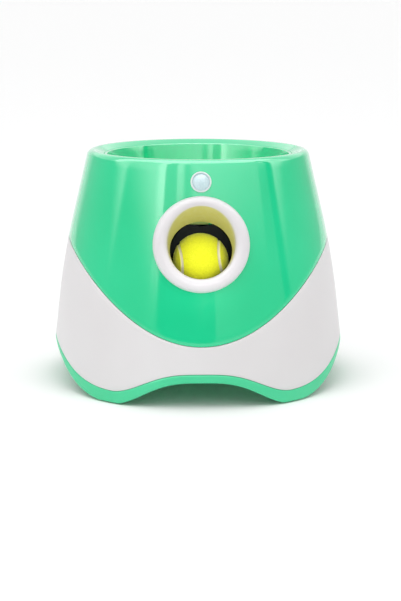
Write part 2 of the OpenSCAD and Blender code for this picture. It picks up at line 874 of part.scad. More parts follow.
module frame_spacers() {
  color("#8C9299") launch_frame() {
    for (p = spacer_at) translate([p[0], p[1], -plate_in]) difference() {
      cylinder(h = plate_gap, r = spacer_r);
      translate([0, 0, -1]) cylinder(h = plate_gap + 2, r = 1.3);
    }
    translate([anchor_s, spring_h, -plate_in]) cylinder(h = plate_gap, r = 1.5);
  }
}

module striker_guide() {
  color("#E8E4D8") launch_frame() {
    translate([head_s + head_t + 3, -lug_drop, -spring_x + coil_r + wire_r + 0.4])
      cube([12, lug_drop - stem_drop - 0.2, 2 * (spring_x - coil_r - wire_r - 0.4)]);
    translate([head_s + head_t + 3, -lug_drop - 3, -plate_in]) cube([12, 3, plate_gap]);
  }
}

module drive_bushes() {
  color("#C79A4B") launch_frame() translate([sector_s, sector_h, 0]) for (m = [0, 1])
    mirror([0, 0, m]) translate([0, 0, plate_in]) difference() {
      cylinder(h = plate_t, r = bush_r);
      translate([0, 0, -1]) cylinder(h = plate_t + 2, r = shaft_r + running);
    }
}

module drive_shaft() {
  color("#9EA4AA") launch_frame() translate([sector_s, sector_h, -plate_out - 2])
    cylinder(h = plate_out + 2 + wheel_x + wheel_t + 2, r = shaft_r);
}

module sector_gear() {
  color("#E8E4D8") launch_frame() translate([sector_s, sector_h, -gear_face / 2]) difference() {
    union() {
      gear(sector_z, rack_m, -90 - 360 / sector_z, gear_face, sector_teeth);
      translate([0, 0, -5]) cylinder(h = gear_face + 10, r = shaft_r + 2.2);
    }
    translate([0, 0, -6]) cylinder(h = gear_face + 12, r = shaft_r);
  }
}

module drive_wheel() {
  color("#E8E4D8") launch_frame() translate([sector_s, sector_h, wheel_x]) difference() {
    union() {
      gear(wheel_z, wheel_m, idler_dir, wheel_t);
      translate([0, 0, wheel_t]) cylinder(h = 1.5, r = shaft_r + 3);
    }
    translate([0, 0, -1]) cylinder(h = wheel_t + 4, r = shaft_r);
    for (a = [0 : 60 : 300]) rotate([0, 0, a]) translate([wheel_pr * 0.58, 0, -1])
      cylinder(h = wheel_t + 2, r = 4.2);
  }
}

module idler_axle() {
  color("#9EA4AA") launch_frame() translate([idler_s, idler_h, plate_in])
    cylinder(h = cover_x + cover_t - plate_in, r = axle_r);
}

module idler_gear() {
  color("#E8E4D8") launch_frame() translate([idler_s, idler_h, wheel_x]) difference() {
    union() {
      gear(pinion_z, wheel_m, idler_dir + 180 + 180 / pinion_z, wheel_t + 1 + eps);
      translate([0, 0, wheel_t + 1]) gear(idler_z, motor_m, motor_dir, idler_t);
      translate([0, 0, wheel_t + 1 + idler_t]) cylinder(h = 1, r = axle_r + 1.5);
    }
    translate([0, 0, -1]) cylinder(h = wheel_t + idler_t + 4, r = axle_r + running);
    for (a = [30 : 60 : 330]) rotate([0, 0, a]) translate([idler_pr * 0.68, 0, wheel_t + 1 - eps])
      cylinder(h = idler_t + 1, r = 2.6);
  }
}

module gear_cover() {
  color("#D9DADB") launch_frame() translate([0, 0, cover_x]) difference() {
    linear_extrude(height = cover_t) polygon([
      [50, 28], [78, -16], [90, -16], [112, 10], [128, 44], [122, 72], [98, 72], [50, 40]]);
    translate([idler_s, idler_h, -1]) cylinder(h = cover_t + 2, r = axle_r);
    translate([sector_s, sector_h, -1]) cylinder(h = cover_t + 2, r = shaft_r + 1);
    for (p = cover_posts_at) translate([p[0], p[1], -1]) cylinder(h = cover_t + 2, r = 1.6);
  }
}

module gear_cover_posts() {
  color("#8C9299") launch_frame() for (p = cover_posts_at) translate([p[0], p[1], plate_out])
    difference() {
      cylinder(h = cover_x - plate_out, r = 2.8);
      translate([0, 0, -1]) cylinder(h = cover_x - plate_out + 2, r = 1.3);
    }
}

module motor() {
  color("#B4B8BC") launch_frame() translate([motor_s, motor_h, plate_in]) difference() {
    union() {
      translate([0, 0, -motor_l]) cylinder(h = motor_l, r = motor_r);
      cylinder(h = plate_t - 0.5, r = spindle_r + 1.8);
      translate([0, 0, -motor_l - 3]) cylinder(h = 3, r = 4);
      for (x = [-1, 1]) translate([x * 6 - 1.2, 5, -motor_l - 5]) cube([2.4, 0.8, 5]);
    }
    translate([0, 0, -9]) cylinder(h = 20, r = spindle_r + running);
    at_motor_screws() translate([0, 0, -6]) cylinder(h = 8, r = 1.3);
  }
}

// Screw places on the motor's face, about its own axis
module at_motor_screws() {
  for (a = [30, 210]) rotate([0, 0, a]) translate([8, 0, 0]) children();
}

module motor_pinion() {
  color("#C9A45A") launch_frame() translate([motor_s, motor_h, 0]) {
    translate([0, 0, idler_x]) gear(motor_z, motor_m, motor_dir + 180 + 180 / motor_z, idler_t);
    translate([0, 0, plate_in - 8]) cylinder(h = idler_x + idler_t - plate_in + 9, r = spindle_r);
  }
}

// Snap-action switch that feels the stem's tail when the striker is drawn
module limit_switch() {
  body_s = stem_end + 3;
  color("#2B2D30") launch_frame() {
    translate([body_s, -9, -plate_in]) difference() {
      cube([6.5, 20, 10]);
      for (h = [5, 15]) translate([3, h, -1]) cylinder(h = 12, r = 1.1);
    }
    translate([body_s - 2.4, 1, -plate_in + 3]) cube([0.6, 4, 9]);
    translate([body_s - 2.4, -8, -plate_in + 3]) cube([0.6, 10, 2.5]);
    translate([body_s - 2.4, -8, -plate_in + 3]) cube([3, 2, 2.5]);
    for (h = [-6, 0, 6]) translate([body_s + 6, h, -plate_in + 4]) cube([4, 2.4, 0.8]);
  }
}

module control_panel() {
  color("#DFE2E3") difference() {
    intersection() {
      union() {
        intersection() {
          difference() {
            envelope(0.8);
            envelope(0.8 + wall);
          }
          panel_prism(fit);
        }
        intersection() {
          difference() {
            envelope(wall + 0.1);
            envelope(panel_back);
          }
          panel_prism(-3);
        }
      }
      translate([-60, 60, 0]) cube([120, 120, 200]);
    }
    at_buttons() translate([0, 0, -20]) cylinder(h = 40, r = button_r + fit);
    at_lights() translate([0, 0, -20]) cylinder(h = 40, r = light_r + 0.05);
    at_inlet() translate([0, 0, -30]) cylinder(h = 60, r = inlet_r + 0.05);
  }
}

module at_buttons() {
  for (a = [-1, 1]) on_wall(a * button_turn, button_z) children();
}

module at_lights() {
  for (a = [-2 : 2]) on_wall(a * 2.2, panel_z + 20) children();
}

module at_inlet() {
  on_wall(-8, panel_z - 16) children();
}

// Cap, flange that keeps it behind the panel, and stem over the switch
module push_button() {
  translate([0, 0, -button_seat]) cylinder(h = button_seat + 1.5, r = button_r);
  translate([0, 0, 1.5]) cylinder(h = 1, r1 = button_r, r2 = button_r - 1);
  translate([0, 0, -button_seat - 2]) cylinder(h = 2, r = button_r + 1.6);
  translate([0, 0, -button_seat - 4]) cylinder(h = 3, r = 1.8);
}

module power_button() {
  color("#F2F2F2") on_wall(button_turn, button_z) push_button();
}

module range_button() {
  color("#F2F2F2") on_wall(-button_turn, button_z) push_button();
}

module control_board() {
  thick = 1.6;
  face = -board_depth + thick;
  post = board_depth - thick - panel_back - 3.3;
  color("#2E7D4F") on_wall(0, panel_z + 2) difference() {
    union() {
      translate([-30, -9, -board_depth]) cube([60, 35, thick]);
      for (x = [-1, 1], y = [-5, 22]) translate([x * 26, y, face - 0.1])
        cylinder(h = post, r = 2);
      for (x = [-1, 1]) translate([x * 19 - 3, 3.2, face - 0.1]) cube([6, 6, 2.1]);
    }
    for (x = [-1, 1], y = [-5, 22]) translate([x * 26, y, -board_depth - 1])
      cylinder(h = 5, r = 0.9);
  }
}

module indicator_lights() {
  color("#E8F2F0") at_lights() {
    translate([0, 0, -10]) cylinder(h = 9.4, r = light_r);
    translate([0, 0, -0.6]) sphere(r = light_r);
  }
}

module power_inlet() {
  color("#232527") at_inlet() {
    difference() {
      union() {
        translate([0, 0, -11.5]) cylinder(h = 11, r = inlet_r);
        translate([0, 0, -0.8]) cylinder(h = 1.6, r = inlet_r + 1.6);
      }
      translate([0, 0, -9.5]) cylinder(h = 20, r = jack_r);
    }
    translate([0, 0, -10]) cylinder(h = 8, r = 1);
  }
}

module main_board() {
  color("#2E7D4F") difference() {
    union() {
      translate([-board_x, board_y0, floor_z + post_h])
        cube([2 * board_x, board_y1 - board_y0, 1.6]);
      translate([-20, board_y0 + 8, floor_z + post_h + 1.5]) cube([14, 14, 2.1]);
      for (i = [0 : 2]) translate([8 + 7 * i, board_y0 + 10, floor_z + post_h + 1.5])
        cylinder(h = 9, r = 2.6);
      translate([-24, board_y1 - 9, floor_z + post_h + 1.5]) cube([40, 6, 6]);
    }
    at_posts() translate([0, 0, -1]) cylinder(h = 20, r = 1.2);
  }
}

module at_posts() {
  for (x = [-1, 1], y = [board_y0 + 4, board_y1 - 4])
    translate([x * (board_x - 4), y, floor_z]) children();
}

module board_posts() {
  color("#D9DADB") at_posts() difference() {
    cylinder(h = post_h, r = 3);
    translate([0, 0, 1]) cylinder(h = 10, r = 1);
  }
}

module buzzer() {
  color("#1E1F21") translate([24, board_y1 - 12, floor_z + post_h + 1.6]) difference() {
    cylinder(h = 7, r = 6);
    translate([0, 0, 5]) cylinder(h = 3, r = 1);
  }
}

module at_cells() {
  for (i = [0 : cell_rows - 1], x = [-1, 1])
    translate([x * (cell_l / 2 + 0.4), well_mid_y + cell_pitch * (i - (cell_rows - 1) / 2), cell_z])
      rotate([0, i % 2 == 0 ? 90 : -90, 0]) children();
}

module battery_cells() {
  color("#C8A24A") at_cells() {
    translate([0, 0, -cell_l / 2]) cylinder(h = cell_l - 2, r = cell_r);
    translate([0, 0, cell_l / 2 - 2 - eps]) cylinder(h = 2, r = 3.2);
  }
}

module battery_contacts() {
  color("#C9CCD0") for (x = [-1, 1], i = [0 : cell_rows - 1])
    translate([x * (well_x - 0.4), well_mid_y + cell_pitch * (i - (cell_rows - 1) / 2), cell_z]) {
      translate([-0.4, -9, -9]) cube([0.8, 18, 18]);
      rotate([0, -x * 90, 0]) cylinder(h = 4.4, r1 = 6, r2 = 3);
    }
}

module base_screws() {
  color("#8C9299") at_bosses(floor_z - wall) mirror([0, 0, 1]) screw(0, 12, 1.45, 3.2, 2.2);
}

// Screw along local Z whose head's underside lies at the height given
module screw(under, length, r, head_r, head_h) {
  translate([0, 0, under - length]) cylinder(h = length + head_h / 2, r = r);
  translate([0, 0, under]) cylinder(h = head_h, r = head_r);
}

module frame_screws() {
  color("#8C9299") {
    launch_frame() {
      for (p = spacer_at) for (m = [0, 1]) mirror([0, 0, m]) translate([p[0], p[1], plate_out])
        screw(0, 9, 1.25, 2.8, 1);
      for (p = cover_posts_at) translate([p[0], p[1], cover_x + cover_t])
        screw(0, 8, 1.25, 2.8, 1.4);
      translate([motor_s, motor_h, plate_out]) at_motor_screws() screw(0, 7, 1.25, 2.4, 0.8);
    }
    for (m = [0, 1]) mirror([m, 0, 0]) at_foot_screws() screw(2.5, 4.8, 1.25, 3, 1.6);
  }
}

module chamber_screws() {
  color("#8C9299") at_clamps() translate([0, 0, clamp_half]) screw(0, 2 * clamp_half + 1, 1.3, 2.8, 1.6);
}

upper_shell();
lower_shell();
base();
foot_pads();
bowl();
launch_ring();
chamber_left();
chamber_right();
ball();
sensor_ring();
sensor_lens();
sensor_board();
striker();
striker_facing();
spring_left();
spring_right();
frame_plate_left();
frame_plate_right();
frame_spacers();
striker_guide();
drive_bushes();
drive_shaft();
sector_gear();
drive_wheel();
idler_axle();
idler_gear();
gear_cover();
gear_cover_posts();
motor();
motor_pinion();
limit_switch();
control_panel();
power_button();
range_button();
control_board();
indicator_lights();
power_inlet();
main_board();
board_posts();
buzzer();
battery_cells();
battery_contacts();
battery_door();
base_screws();
frame_screws();
chamber_screws();
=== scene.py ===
import math

import bmesh
import bpy
from mathutils import Matrix, Vector, kdtree, noise


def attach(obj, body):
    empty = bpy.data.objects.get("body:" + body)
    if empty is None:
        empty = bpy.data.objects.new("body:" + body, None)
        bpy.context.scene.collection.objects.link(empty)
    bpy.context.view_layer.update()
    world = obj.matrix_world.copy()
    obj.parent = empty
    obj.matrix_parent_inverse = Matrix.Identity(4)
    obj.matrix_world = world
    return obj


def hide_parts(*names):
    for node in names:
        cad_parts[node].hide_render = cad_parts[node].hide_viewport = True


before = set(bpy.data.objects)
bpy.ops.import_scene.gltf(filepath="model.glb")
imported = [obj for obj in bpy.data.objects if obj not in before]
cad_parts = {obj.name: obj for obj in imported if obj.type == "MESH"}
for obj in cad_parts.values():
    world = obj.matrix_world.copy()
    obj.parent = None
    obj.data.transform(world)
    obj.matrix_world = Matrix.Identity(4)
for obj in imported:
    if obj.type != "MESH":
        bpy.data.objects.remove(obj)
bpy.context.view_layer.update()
mm = 0.001
print("frame loaded")

# the camera stands a little left of the middle and looks slightly down
photoView = {
    "target": (0, 0, 107.5),
    "distance": 1700,
    "elevation": 9.3,
    "azimuth": -1.4,
    "lens": 107.1,
    "shift": (0.0042, -0.0654),
}


def aimAt(thing, azimuth, elevation, distance, target):
    # stands a thing round its target, in front at azimuth 0 and to the right where positive
    across = math.radians(azimuth)
    rise = math.radians(elevation)
    target = Vector(target) * mm
    thing.location = target + distance * mm * Vector((
        math.sin(across) * math.cos(rise),
        -math.cos(across) * math.cos(rise),
        math.sin(rise),
    ))
    thing.rotation_euler = (target - thing.location).to_track_quat("-Z", "Y").to_euler()


cameraData = bpy.data.cameras.new("photoCamera")
cameraData.lens = photoView["lens"]
cameraData.shift_x, cameraData.shift_y = photoView["shift"]
cameraObject = bpy.data.objects.new("photoCamera", cameraData)
bpy.context.scene.collection.objects.link(cameraObject)
aimAt(cameraObject, photoView["azimuth"], photoView["elevation"], photoView["distance"],
      photoView["target"])
bpy.context.scene.camera = cameraObject
bpy.context.scene.view_settings.view_transform = "Standard"
print("camera placed")

# ---- the housing's walls, in millimetres ----
housing = {
    "height": 215,
    "baseR": 154.3,
    "lean": 13.36,
    "wall": 2.5,
    "fit": 0.3,
    "sideAxis": 23.2,
    "sideR": 149.7,
    "creaseZ": 120,
    "sideSlope": 0.1115,
    "creaseSoft": 5,
    "partingZ": 54,
    "partingRise": 0.0054,
    "columns": 360,
    "startZ": 60,
    "rounds": 14,
}
pole = 0.0005  # a ring this small closes to a point
slope = math.tan(math.radians(housing["lean"]))
coneInset = 1 / math.cos(math.radians(housing["lean"]))


def coneRadius(z):
    return housing["baseR"] - slope * z


def wallRadius(angle, z, inset=0):
    # the front and back are one cone, and each side is cut by a flatter one
    cone = coneRadius(z) - inset * coneInset
    axis = housing["sideAxis"]
    reach = housing["sideR"] + housing["sideSlope"] * (housing["creaseZ"] - z) - inset
    side = math.sqrt(reach ** 2 - (axis * math.sin(angle)) ** 2) - axis * abs(math.cos(angle))
    # the crease between them is rounded, as a mould's would be
    soft = housing["creaseSoft"]
    near = max(soft - abs(cone - side), 0) / soft
    return min(cone, side) - near * near * soft / 4


def turned(radius, angle, z):
    return (radius * math.cos(angle), radius * math.sin(angle), z)


def heightOnWall(rule, angle, inset):
    # a height that depends on the place across, found on the wall itself
    z = housing["startZ"]
    for step in range(housing["rounds"]):
        radius = wallRadius(angle, z, inset)
        z = rule(radius * math.cos(angle), radius * math.sin(angle))
    return z


def partingHeight(x, y):
    return housing["partingZ"] + housing["partingRise"] * x * x


band = {
    "front": {"half": 81, "power": 1.5, "sole": 23, "top": 30.2},
    "side": {"half": 126, "power": 1.13, "sole": 38, "top": 41},
    "foot": 11,
    "sole": 1,
    "floor": 42,
    # the floor's rings, the rounding along the sole, and the smaller one along the top
    "reaches": (60, 100),
    "edge": 1.1,
    "soft": 0.7,
    "nearly": 0.2,
}


def archShape(place, arch):
    # 1 in the middle of an arch, falling to 0 at the feet beside it
    share = min(abs(place) / arch["half"], 1)
    return 0.5 + 0.5 * math.cos(math.pi * share ** arch["power"])


def soleHeight(x, y):
    front = band["front"]["sole"] * archShape(x, band["front"])
    side = band["side"]["sole"] * archShape(y, band["side"])
    return max(band["sole"], front, side)


def bandHeight(x, y):
    front = (band["front"]["top"] - band["foot"]) * archShape(x, band["front"])
    side = (band["side"]["top"] - band["foot"]) * archShape(y, band["side"])
    return band["foot"] + max(front, side)


# ---- modelling helpers ----
def pickOnly(piece):
    bpy.ops.object.select_all(action="DESELECT")
    piece.select_set(True)
    bpy.context.view_layer.objects.active = piece


def startFrom(shape, name, **settings):
    bpy.ops.object.select_all(action="DESELECT")
    getattr(bpy.ops.mesh, "primitive_" + shape + "_add")(**settings)
    piece = bpy.context.object
    piece.name = name
    piece.data.name = name
    return piece


def placeRing(piece, ring, columns):
    mesh = bmesh.from_edit_mesh(piece.data)
    tag = mesh.verts.layers.int["column"]
    for vert in mesh.verts:
        if vert.select:
            angle = 2 * math.pi * vert[tag] / columns
            vert.co = Vector(ring(angle)) * mm
    bmesh.update_edit_mesh(piece.data)


def loftRings(name, rings, columns, ends="bridge"):
    # a circle is extruded ring by ring, and each ring says where a column stands on it
    piece = startFrom("circle", name, vertices=columns)
    bpy.ops.object.mode_set(mode="EDIT")
    bpy.ops.mesh.select_mode(type="VERT")
    mesh = bmesh.from_edit_mesh(piece.data)
    tag = mesh.verts.layers.int.new("column")
    mesh.verts.ensure_lookup_table()
    for number in range(columns):
        mesh.verts[number][tag] = number
    placeRing(piece, rings[0], columns)
    for ring in rings[1:]:
        bpy.ops.mesh.extrude_region_move()
        placeRing(piece, ring, columns)
    if ends == "bridge":
        bpy.ops.mesh.select_all(action="DESELECT")
        bpy.ops.mesh.select_non_manifold()
        bpy.ops.mesh.bridge_edge_loops()
    else:
        # poles: each end ring closes to one point
        bpy.ops.mesh.select_all(action="SELECT")
        bpy.ops.mesh.remove_doubles(threshold=4 * pole * mm)
    bpy.ops.mesh.select_all(action="SELECT")
    bpy.ops.mesh.normals_make_consistent(inside=False)
    bpy.ops.object.mode_set(mode="OBJECT")
    piece.data.attributes.remove(piece.data.attributes["column"])
    return piece


def settle(piece, matrix):
    # puts a piece where a local frame says and leaves its object at the origin
    pickOnly(piece)
    piece.matrix_world = matrix
    bpy.ops.object.transform_apply(location=True, rotation=True, scale=True)


def combine(piece, other, operation, keep=False):
    modifier = piece.modifiers.new("combine", "BOOLEAN")
    modifier.object = other
    modifier.operation = operation
    modifier.solver = "EXACT"
    pickOnly(piece)
    bpy.ops.object.modifier_apply(modifier=modifier.name)
    if not keep:
        bpy.data.objects.remove(other, do_unlink=True)


def cutter(name, depth, radius, middle):
    # a round tool for a hole, along local Z
    tool = startFrom("cylinder", name, vertices=128, radius=radius * mm, depth=depth * mm,
                     location=(0, 0, middle * mm))
    bpy.ops.object.transform_apply(location=True, rotation=True, scale=True)
    return tool


def block(name, low, high):
    low = Vector(low)
    high = Vector(high)
    made = startFrom("cube", name, size=1, location=(low + high) / 2 * mm,
                     scale=(high - low) * mm)
    bpy.ops.object.transform_apply(location=True, rotation=True, scale=True)
    return made


def atCorners(piece, x, y):
    # three copies, each with its own mesh, and all four put at the corners
    pieces = [piece]
    for number in range(3):
        copy = piece.copy()
        copy.data = piece.data.copy()
        bpy.context.scene.collection.objects.link(copy)
        pieces.append(copy)
    for number, made in enumerate(pieces):
        across = x if number % 2 else -x
        along = y if number > 1 else -y
        settle(made, Matrix.Translation((across * mm, along * mm, 0)))
    return pieces


def closeIn(low, high, rounds, isLow):
    # halves a span again and again, towards where the test turns from true to false
    for step in range(rounds):
        middle = (low + high) / 2
        if isLow(middle):
            low = middle
        else:
            high = middle
    return middle


def shares(count, first=0):
    # even steps from first / count up to 1
    return [step / count for step in range(first, count + 1)]


def roundedCorner(start, corner, end, share):
    # a soft turn from start to end that leans towards the corner
    start, corner, end = Vector(start), Vector(corner), Vector(end)
    return start * (1 - share) ** 2 + corner * 2 * share * (1 - share) + end * share ** 2


def finishPiece(piece, body, node, material, smooth=32):
    pickOnly(piece)
    bpy.ops.object.shade_smooth_by_angle(angle=math.radians(smooth))
    piece.data.materials.clear()
    piece.data.materials.append(material)
    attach(piece, body)
    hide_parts(node)
    print("made", piece.name, len(piece.data.polygons), "faces")


def wallFrame(turn, z):
    # local Z leaves the wall squarely, local Y climbs it; turn 0 is the back
    place = (0, coneRadius(z) * mm, z * mm)
    lean = math.radians(housing["lean"] - 90)
    return (
        Matrix.Rotation(math.radians(turn), 4, "Z")
        @ Matrix.Translation(place)
        @ Matrix.Rotation(lean, 4, "X")
        @ Matrix.Rotation(math.pi, 4, "Z")
    )


# ---- materials ----
def colour(code):
    channels = [int(code[i:i + 2], 16) / 255 for i in (1, 3, 5)]
    linear = [c / 12.92 if c <= 0.04045 else ((c + 0.055) / 1.055) ** 2.4 for c in channels]
    return (*linear, 1)


def addNode(tree, kind, inputs=None, **settings):
    made = tree.nodes.new("ShaderNode" + kind)
    for name, value in settings.items():
        setattr(made, name, value)
    for name, value in (inputs or {}).items():
        if isinstance(value, bpy.types.NodeSocket):
            tree.links.new(value, made.inputs[name])
        else:
            made.inputs[name].default_value = value
    return made


def newMaterial(name):
    material = bpy.data.materials.new(name)
    material.use_nodes = True
    tree = material.node_tree
    tree.nodes.clear()
    return material, tree, addNode(tree, "TexCoord").outputs["Object"]


def finishTree(tree, values):
    shader = addNode(tree, "BsdfPrincipled", values)
    out = addNode(tree, "OutputMaterial")
    tree.links.new(shader.outputs["BSDF"], out.inputs["Surface"])


def clouds(tree, place, size, detail, roughness=0.5, distortion=0):
    # noise with features of so many millimetres
    return addNode(tree, "TexNoise", {
        "Vector": place, "Scale": 1 / (size * mm), "Detail": detail, "Roughness": roughness,
        "Distortion": distortion,
    }).outputs["Fac"]


def remap(tree, value, low, high, first=0, last=1, curve="LINEAR"):
    return addNode(tree, "MapRange", {
        "Value": value, "From Min": low, "From Max": high, "To Min": first, "To Max": last,
    }, interpolation_type=curve).outputs["Result"]


def tint(tree, share, first, last):
    return addNode(tree, "Mix", {0: share, 6: first, 7: last}, data_type="RGBA").outputs[2]


def relief(tree, height, strength, depth, **under):
    return addNode(tree, "Bump", {
        "Height": height, "Strength": strength, "Distance": depth * mm, **under,
    }).outputs["Normal"]


def mouldedFinish(name, look):
    # injection-moulded plastic: flow shading, a fine mould grain and faint handling marks
    material, tree, place = newMaterial(name)
    flow = clouds(tree, place, look.get("flow", 60), detail=2)
    grain = clouds(tree, place, look.get("grain", 0.9), detail=3, roughness=0.6)
    marks = clouds(tree, place, look.get("marks", 9), detail=5, roughness=0.65, distortion=0.6)
    shade = remap(tree, flow, low=0.3, high=0.7)
    polish = remap(tree, marks, low=0.35, high=0.75, first=look["rough"],
                   last=look["rough"] + look.get("smudge", 0.06))
    skin = relief(tree, grain, look.get("bump", 0.05), depth=0.05)
    wave = relief(tree, flow, look.get("wave", 0.1), depth=0.4, Normal=skin)
    finishTree(tree, {
        "Base Color": tint(tree, shade, colour(look["light"]), colour(look["deep"])),
        "Roughness": polish, "IOR": look.get("ior", 1.52), "Normal": wave,
        "Coat Weight": look.get("coat", 0), "Coat Roughness": look.get("coatRough", 0.05),
        "Subsurface Weight": look.get("under", 0), "Subsurface Radius": (0.6, 1, 0.8),
        "Subsurface Scale": look.get("underDepth", 1) * mm,
    })
    return material


def metalFinish(name, look):
    # worked metal: drawn or ground lines one way, and tarnish in soft patches
    material, tree, place = newMaterial(name)
    lines = addNode(tree, "Mapping", {"Vector": place, "Scale": look.get("stretch", (1, 1, 1))})
    brush = clouds(tree, lines.outputs["Vector"], look.get("grain", 0.6), detail=4)
    tarnish = clouds(tree, place, look.get("patch", 7), detail=4, roughness=0.6)
    dullest = look["rough"] + 0.14
    polish = remap(tree, brush, low=0.25, high=0.75, first=look["rough"], last=dullest)
    finishTree(tree, {
        "Base Color": tint(tree, tarnish, colour(look["light"]), colour(look["deep"])),
        "Roughness": polish, "Metallic": 1,
        "Normal": relief(tree, brush, strength=0.12, depth=0.03),
    })
    return material


# glossy ABS from a polished mould: clear mirror-like stripes of the studio over a saturated mint
mintAbs = mouldedFinish("mintAbsPolished", {
    "light": "#22CF92", "deep": "#18C98A", "rough": 0.1, "smudge": 0.03, "flow": 90,
    "bump": 0.03, "wave": 0.1, "coat": 0.55, "coatRough": 0.04, "ior": 1.5,
})
# the base is the same ABS with a satin mould, so it reads lighter and greyer
mintBand = mouldedFinish("mintAbsSatin", {
    "light": "#46CE97", "deep": "#3CC88F", "rough": 0.3, "flow": 70, "bump": 0.12, "wave": 0.08,
})
# white ABS, faintly warm, with a soft gloss that hides finger marks
whiteAbs = mouldedFinish("whiteAbsSoftGloss", {
    "light": "#DAD8D9", "deep": "#D5D2D3", "rough": 0.42, "smudge": 0.03, "flow": 110,
    "bump": 0.02, "wave": 0.02, "ior": 1.36,
})
# the ring is a whiter, denser ABS polished by hand contact
ringAbs = mouldedFinish("whiteRingAbsGloss", {
    "light": "#DAD7D9", "deep": "#D6D3D6", "rough": 0.3, "smudge": 0.02, "flow": 60,
    "bump": 0.02, "wave": 0.02, "ior": 1.42,
})
print("first materials made")

# ---- upper shell, from the parting line up over the rolled rim to the bowl's seam ----
rim = {
    "centreZ": 209,
    "centreR": 98.5,
    "round": 6,
    "fromDeg": 13.36,
    "toDeg": 114.2,
    "seamR": 88.3,
    "seamZ": 211,
    "edge": 0.9,
    "roll": ((1.5, 0.65), (0.6, 0.15), (0.12, -0.4), (0, -1.1)),
    "ledgeZ": 203,
    "shoulder": 1.7,
    "wallTop": 205,
}
shellEdge = {"mint": 0.7, "white": 0.6, "tongueUp": 4, "tongueDown": -5}


def wallRing(rule, inset, lift, topZ=None, share=0):
    # a ring on the wall: a lift above a rule's height, or a share of the way up to topZ
    def ring(angle):
        low = heightOnWall(rule, angle, inset) + lift
        z = low if topZ is None else low + (topZ - low) * share
        return turned(wallRadius(angle, z, inset), angle, z)
    return ring


def betweenRing(lowRule, highRule, inset, lowLift, highLift, share):
    def ring(angle):
        low = heightOnWall(lowRule, angle, inset) + lowLift
        high = heightOnWall(highRule, angle, inset) + highLift
        z = low + (high - low) * share
        return turned(wallRadius(angle, z, inset), angle, z)
    return ring


def flatRing(radius, z):
    return lambda angle: turned(radius, angle, z)


def upperRings():
    wall = housing["wall"]
    edge = shellEdge["mint"]
    rimStart = rim["centreZ"] + rim["round"] * math.sin(math.radians(rim["fromDeg"]))
    rings = [
        wallRing(partingHeight, edge, 0),
        wallRing(partingHeight, edge * 0.3, edge * 0.3),
        wallRing(partingHeight, 0, edge),
    ]
    for share in shares(22, 1):
        rings.append(wallRing(partingHeight, 0, edge, rimStart, share))
    turn = rim["toDeg"] - rim["fromDeg"]
    for share in shares(12, 1):
        angle = math.radians(rim["fromDeg"] + turn * share)
        rings.append(flatRing(
            rim["centreR"] + rim["round"] * math.cos(angle),
            rim["centreZ"] + rim["round"] * math.sin(angle),
        ))
    seam = rim["seamR"]
    top = rim["seamZ"]
    soft = rim["edge"]
    ledge = seam - rim["shoulder"] + housing["fit"]
    under = rim["ledgeZ"] - wall - 1
    rings += [flatRing(seam + soft * out, top + soft * up) for out, up in rim["roll"]]
    rings += [
        flatRing(seam, rim["ledgeZ"]),
        flatRing(ledge, rim["ledgeZ"]),
        flatRing(ledge, under),
        flatRing(seam + wall, under),
        flatRing(seam + wall, top - wall + 1),
        flatRing(rim["centreR"], housing["height"] - wall),
        flatRing(coneRadius(rim["centreZ"]) - wall * coneInset, rim["centreZ"]),
    ]
    up = shellEdge["tongueUp"]
    for share in shares(5):
        rings.append(wallRing(partingHeight, wall, up, rim["wallTop"], 1 - share))
    # a tongue below the parting line stands behind the white shell
    down = shellEdge["tongueDown"]
    rings += [
        wallRing(partingHeight, 2 * wall, up),
        wallRing(partingHeight, 2 * wall, down),
        wallRing(partingHeight, wall + housing["fit"], down),
        wallRing(partingHeight, wall + housing["fit"], 0),
    ]
    return rings


panel = {"half": 36, "low": 73, "high": 127, "corner": 6, "from": 60, "to": 180}
ringPlace = {"z": 142.1, "hole": 38, "deep": 40, "middle": -10}
sensorPlace = {"z": 196, "hole": 8.65, "deep": 20, "middle": 0}

upperShell = loftRings("upperShell", upperRings(), housing["columns"])
for place in (ringPlace, sensorPlace):
    hole = cutter("hole", place["deep"], place["hole"], place["middle"])
    settle(hole, wallFrame(180, place["z"]))
    combine(upperShell, hole, "DIFFERENCE")

# the rear panel's window has round corners
window = block("window", (-panel["half"], panel["from"], panel["low"]),
               (panel["half"], panel["to"], panel["high"]))
bpy.ops.object.mode_set(mode="EDIT")
bpy.ops.mesh.select_all(action="DESELECT")
bpy.ops.mesh.select_mode(type="EDGE")
windowMesh = bmesh.from_edit_mesh(window.data)
for edge in windowMesh.edges:
    ends = [vert.co for vert in edge.verts]
    edge.select_set(abs(ends[0].y - ends[1].y) > panel["corner"] * mm)
bmesh.update_edit_mesh(window.data)
bpy.ops.mesh.bevel(offset=panel["corner"] * mm, segments=8, affect="EDGES")
bpy.ops.object.mode_set(mode="OBJECT")
combine(upperShell, window, "DIFFERENCE")
finishPiece(upperShell, "housing", "upper_shell", mintAbs)

# ---- lower shell, white, between the band and the parting line ----
def lowerRings():
    wall = housing["wall"]
    gap = housing["fit"]
    edge = shellEdge["white"]
    rings = [
        wallRing(bandHeight, edge, gap),
        wallRing(bandHeight, edge * 0.3, gap + edge * 0.3),
    ]
    for share in shares(14):
        rings.append(betweenRing(
            bandHeight, partingHeight, 0, gap + edge, -gap - edge, share))
    rings += [
        wallRing(partingHeight, edge * 0.3, -gap - edge * 0.3),
        wallRing(partingHeight, edge, -gap),
    ]
    for share in shares(4):
        rings.append(betweenRing(bandHeight, partingHeight, wall, gap, -gap, 1 - share))
    return rings


boss = {"x": 98, "y": 70, "radius": 5, "bore": 1.5, "low": 42, "high": 64, "edge": 0.5,
        "columns": 32}


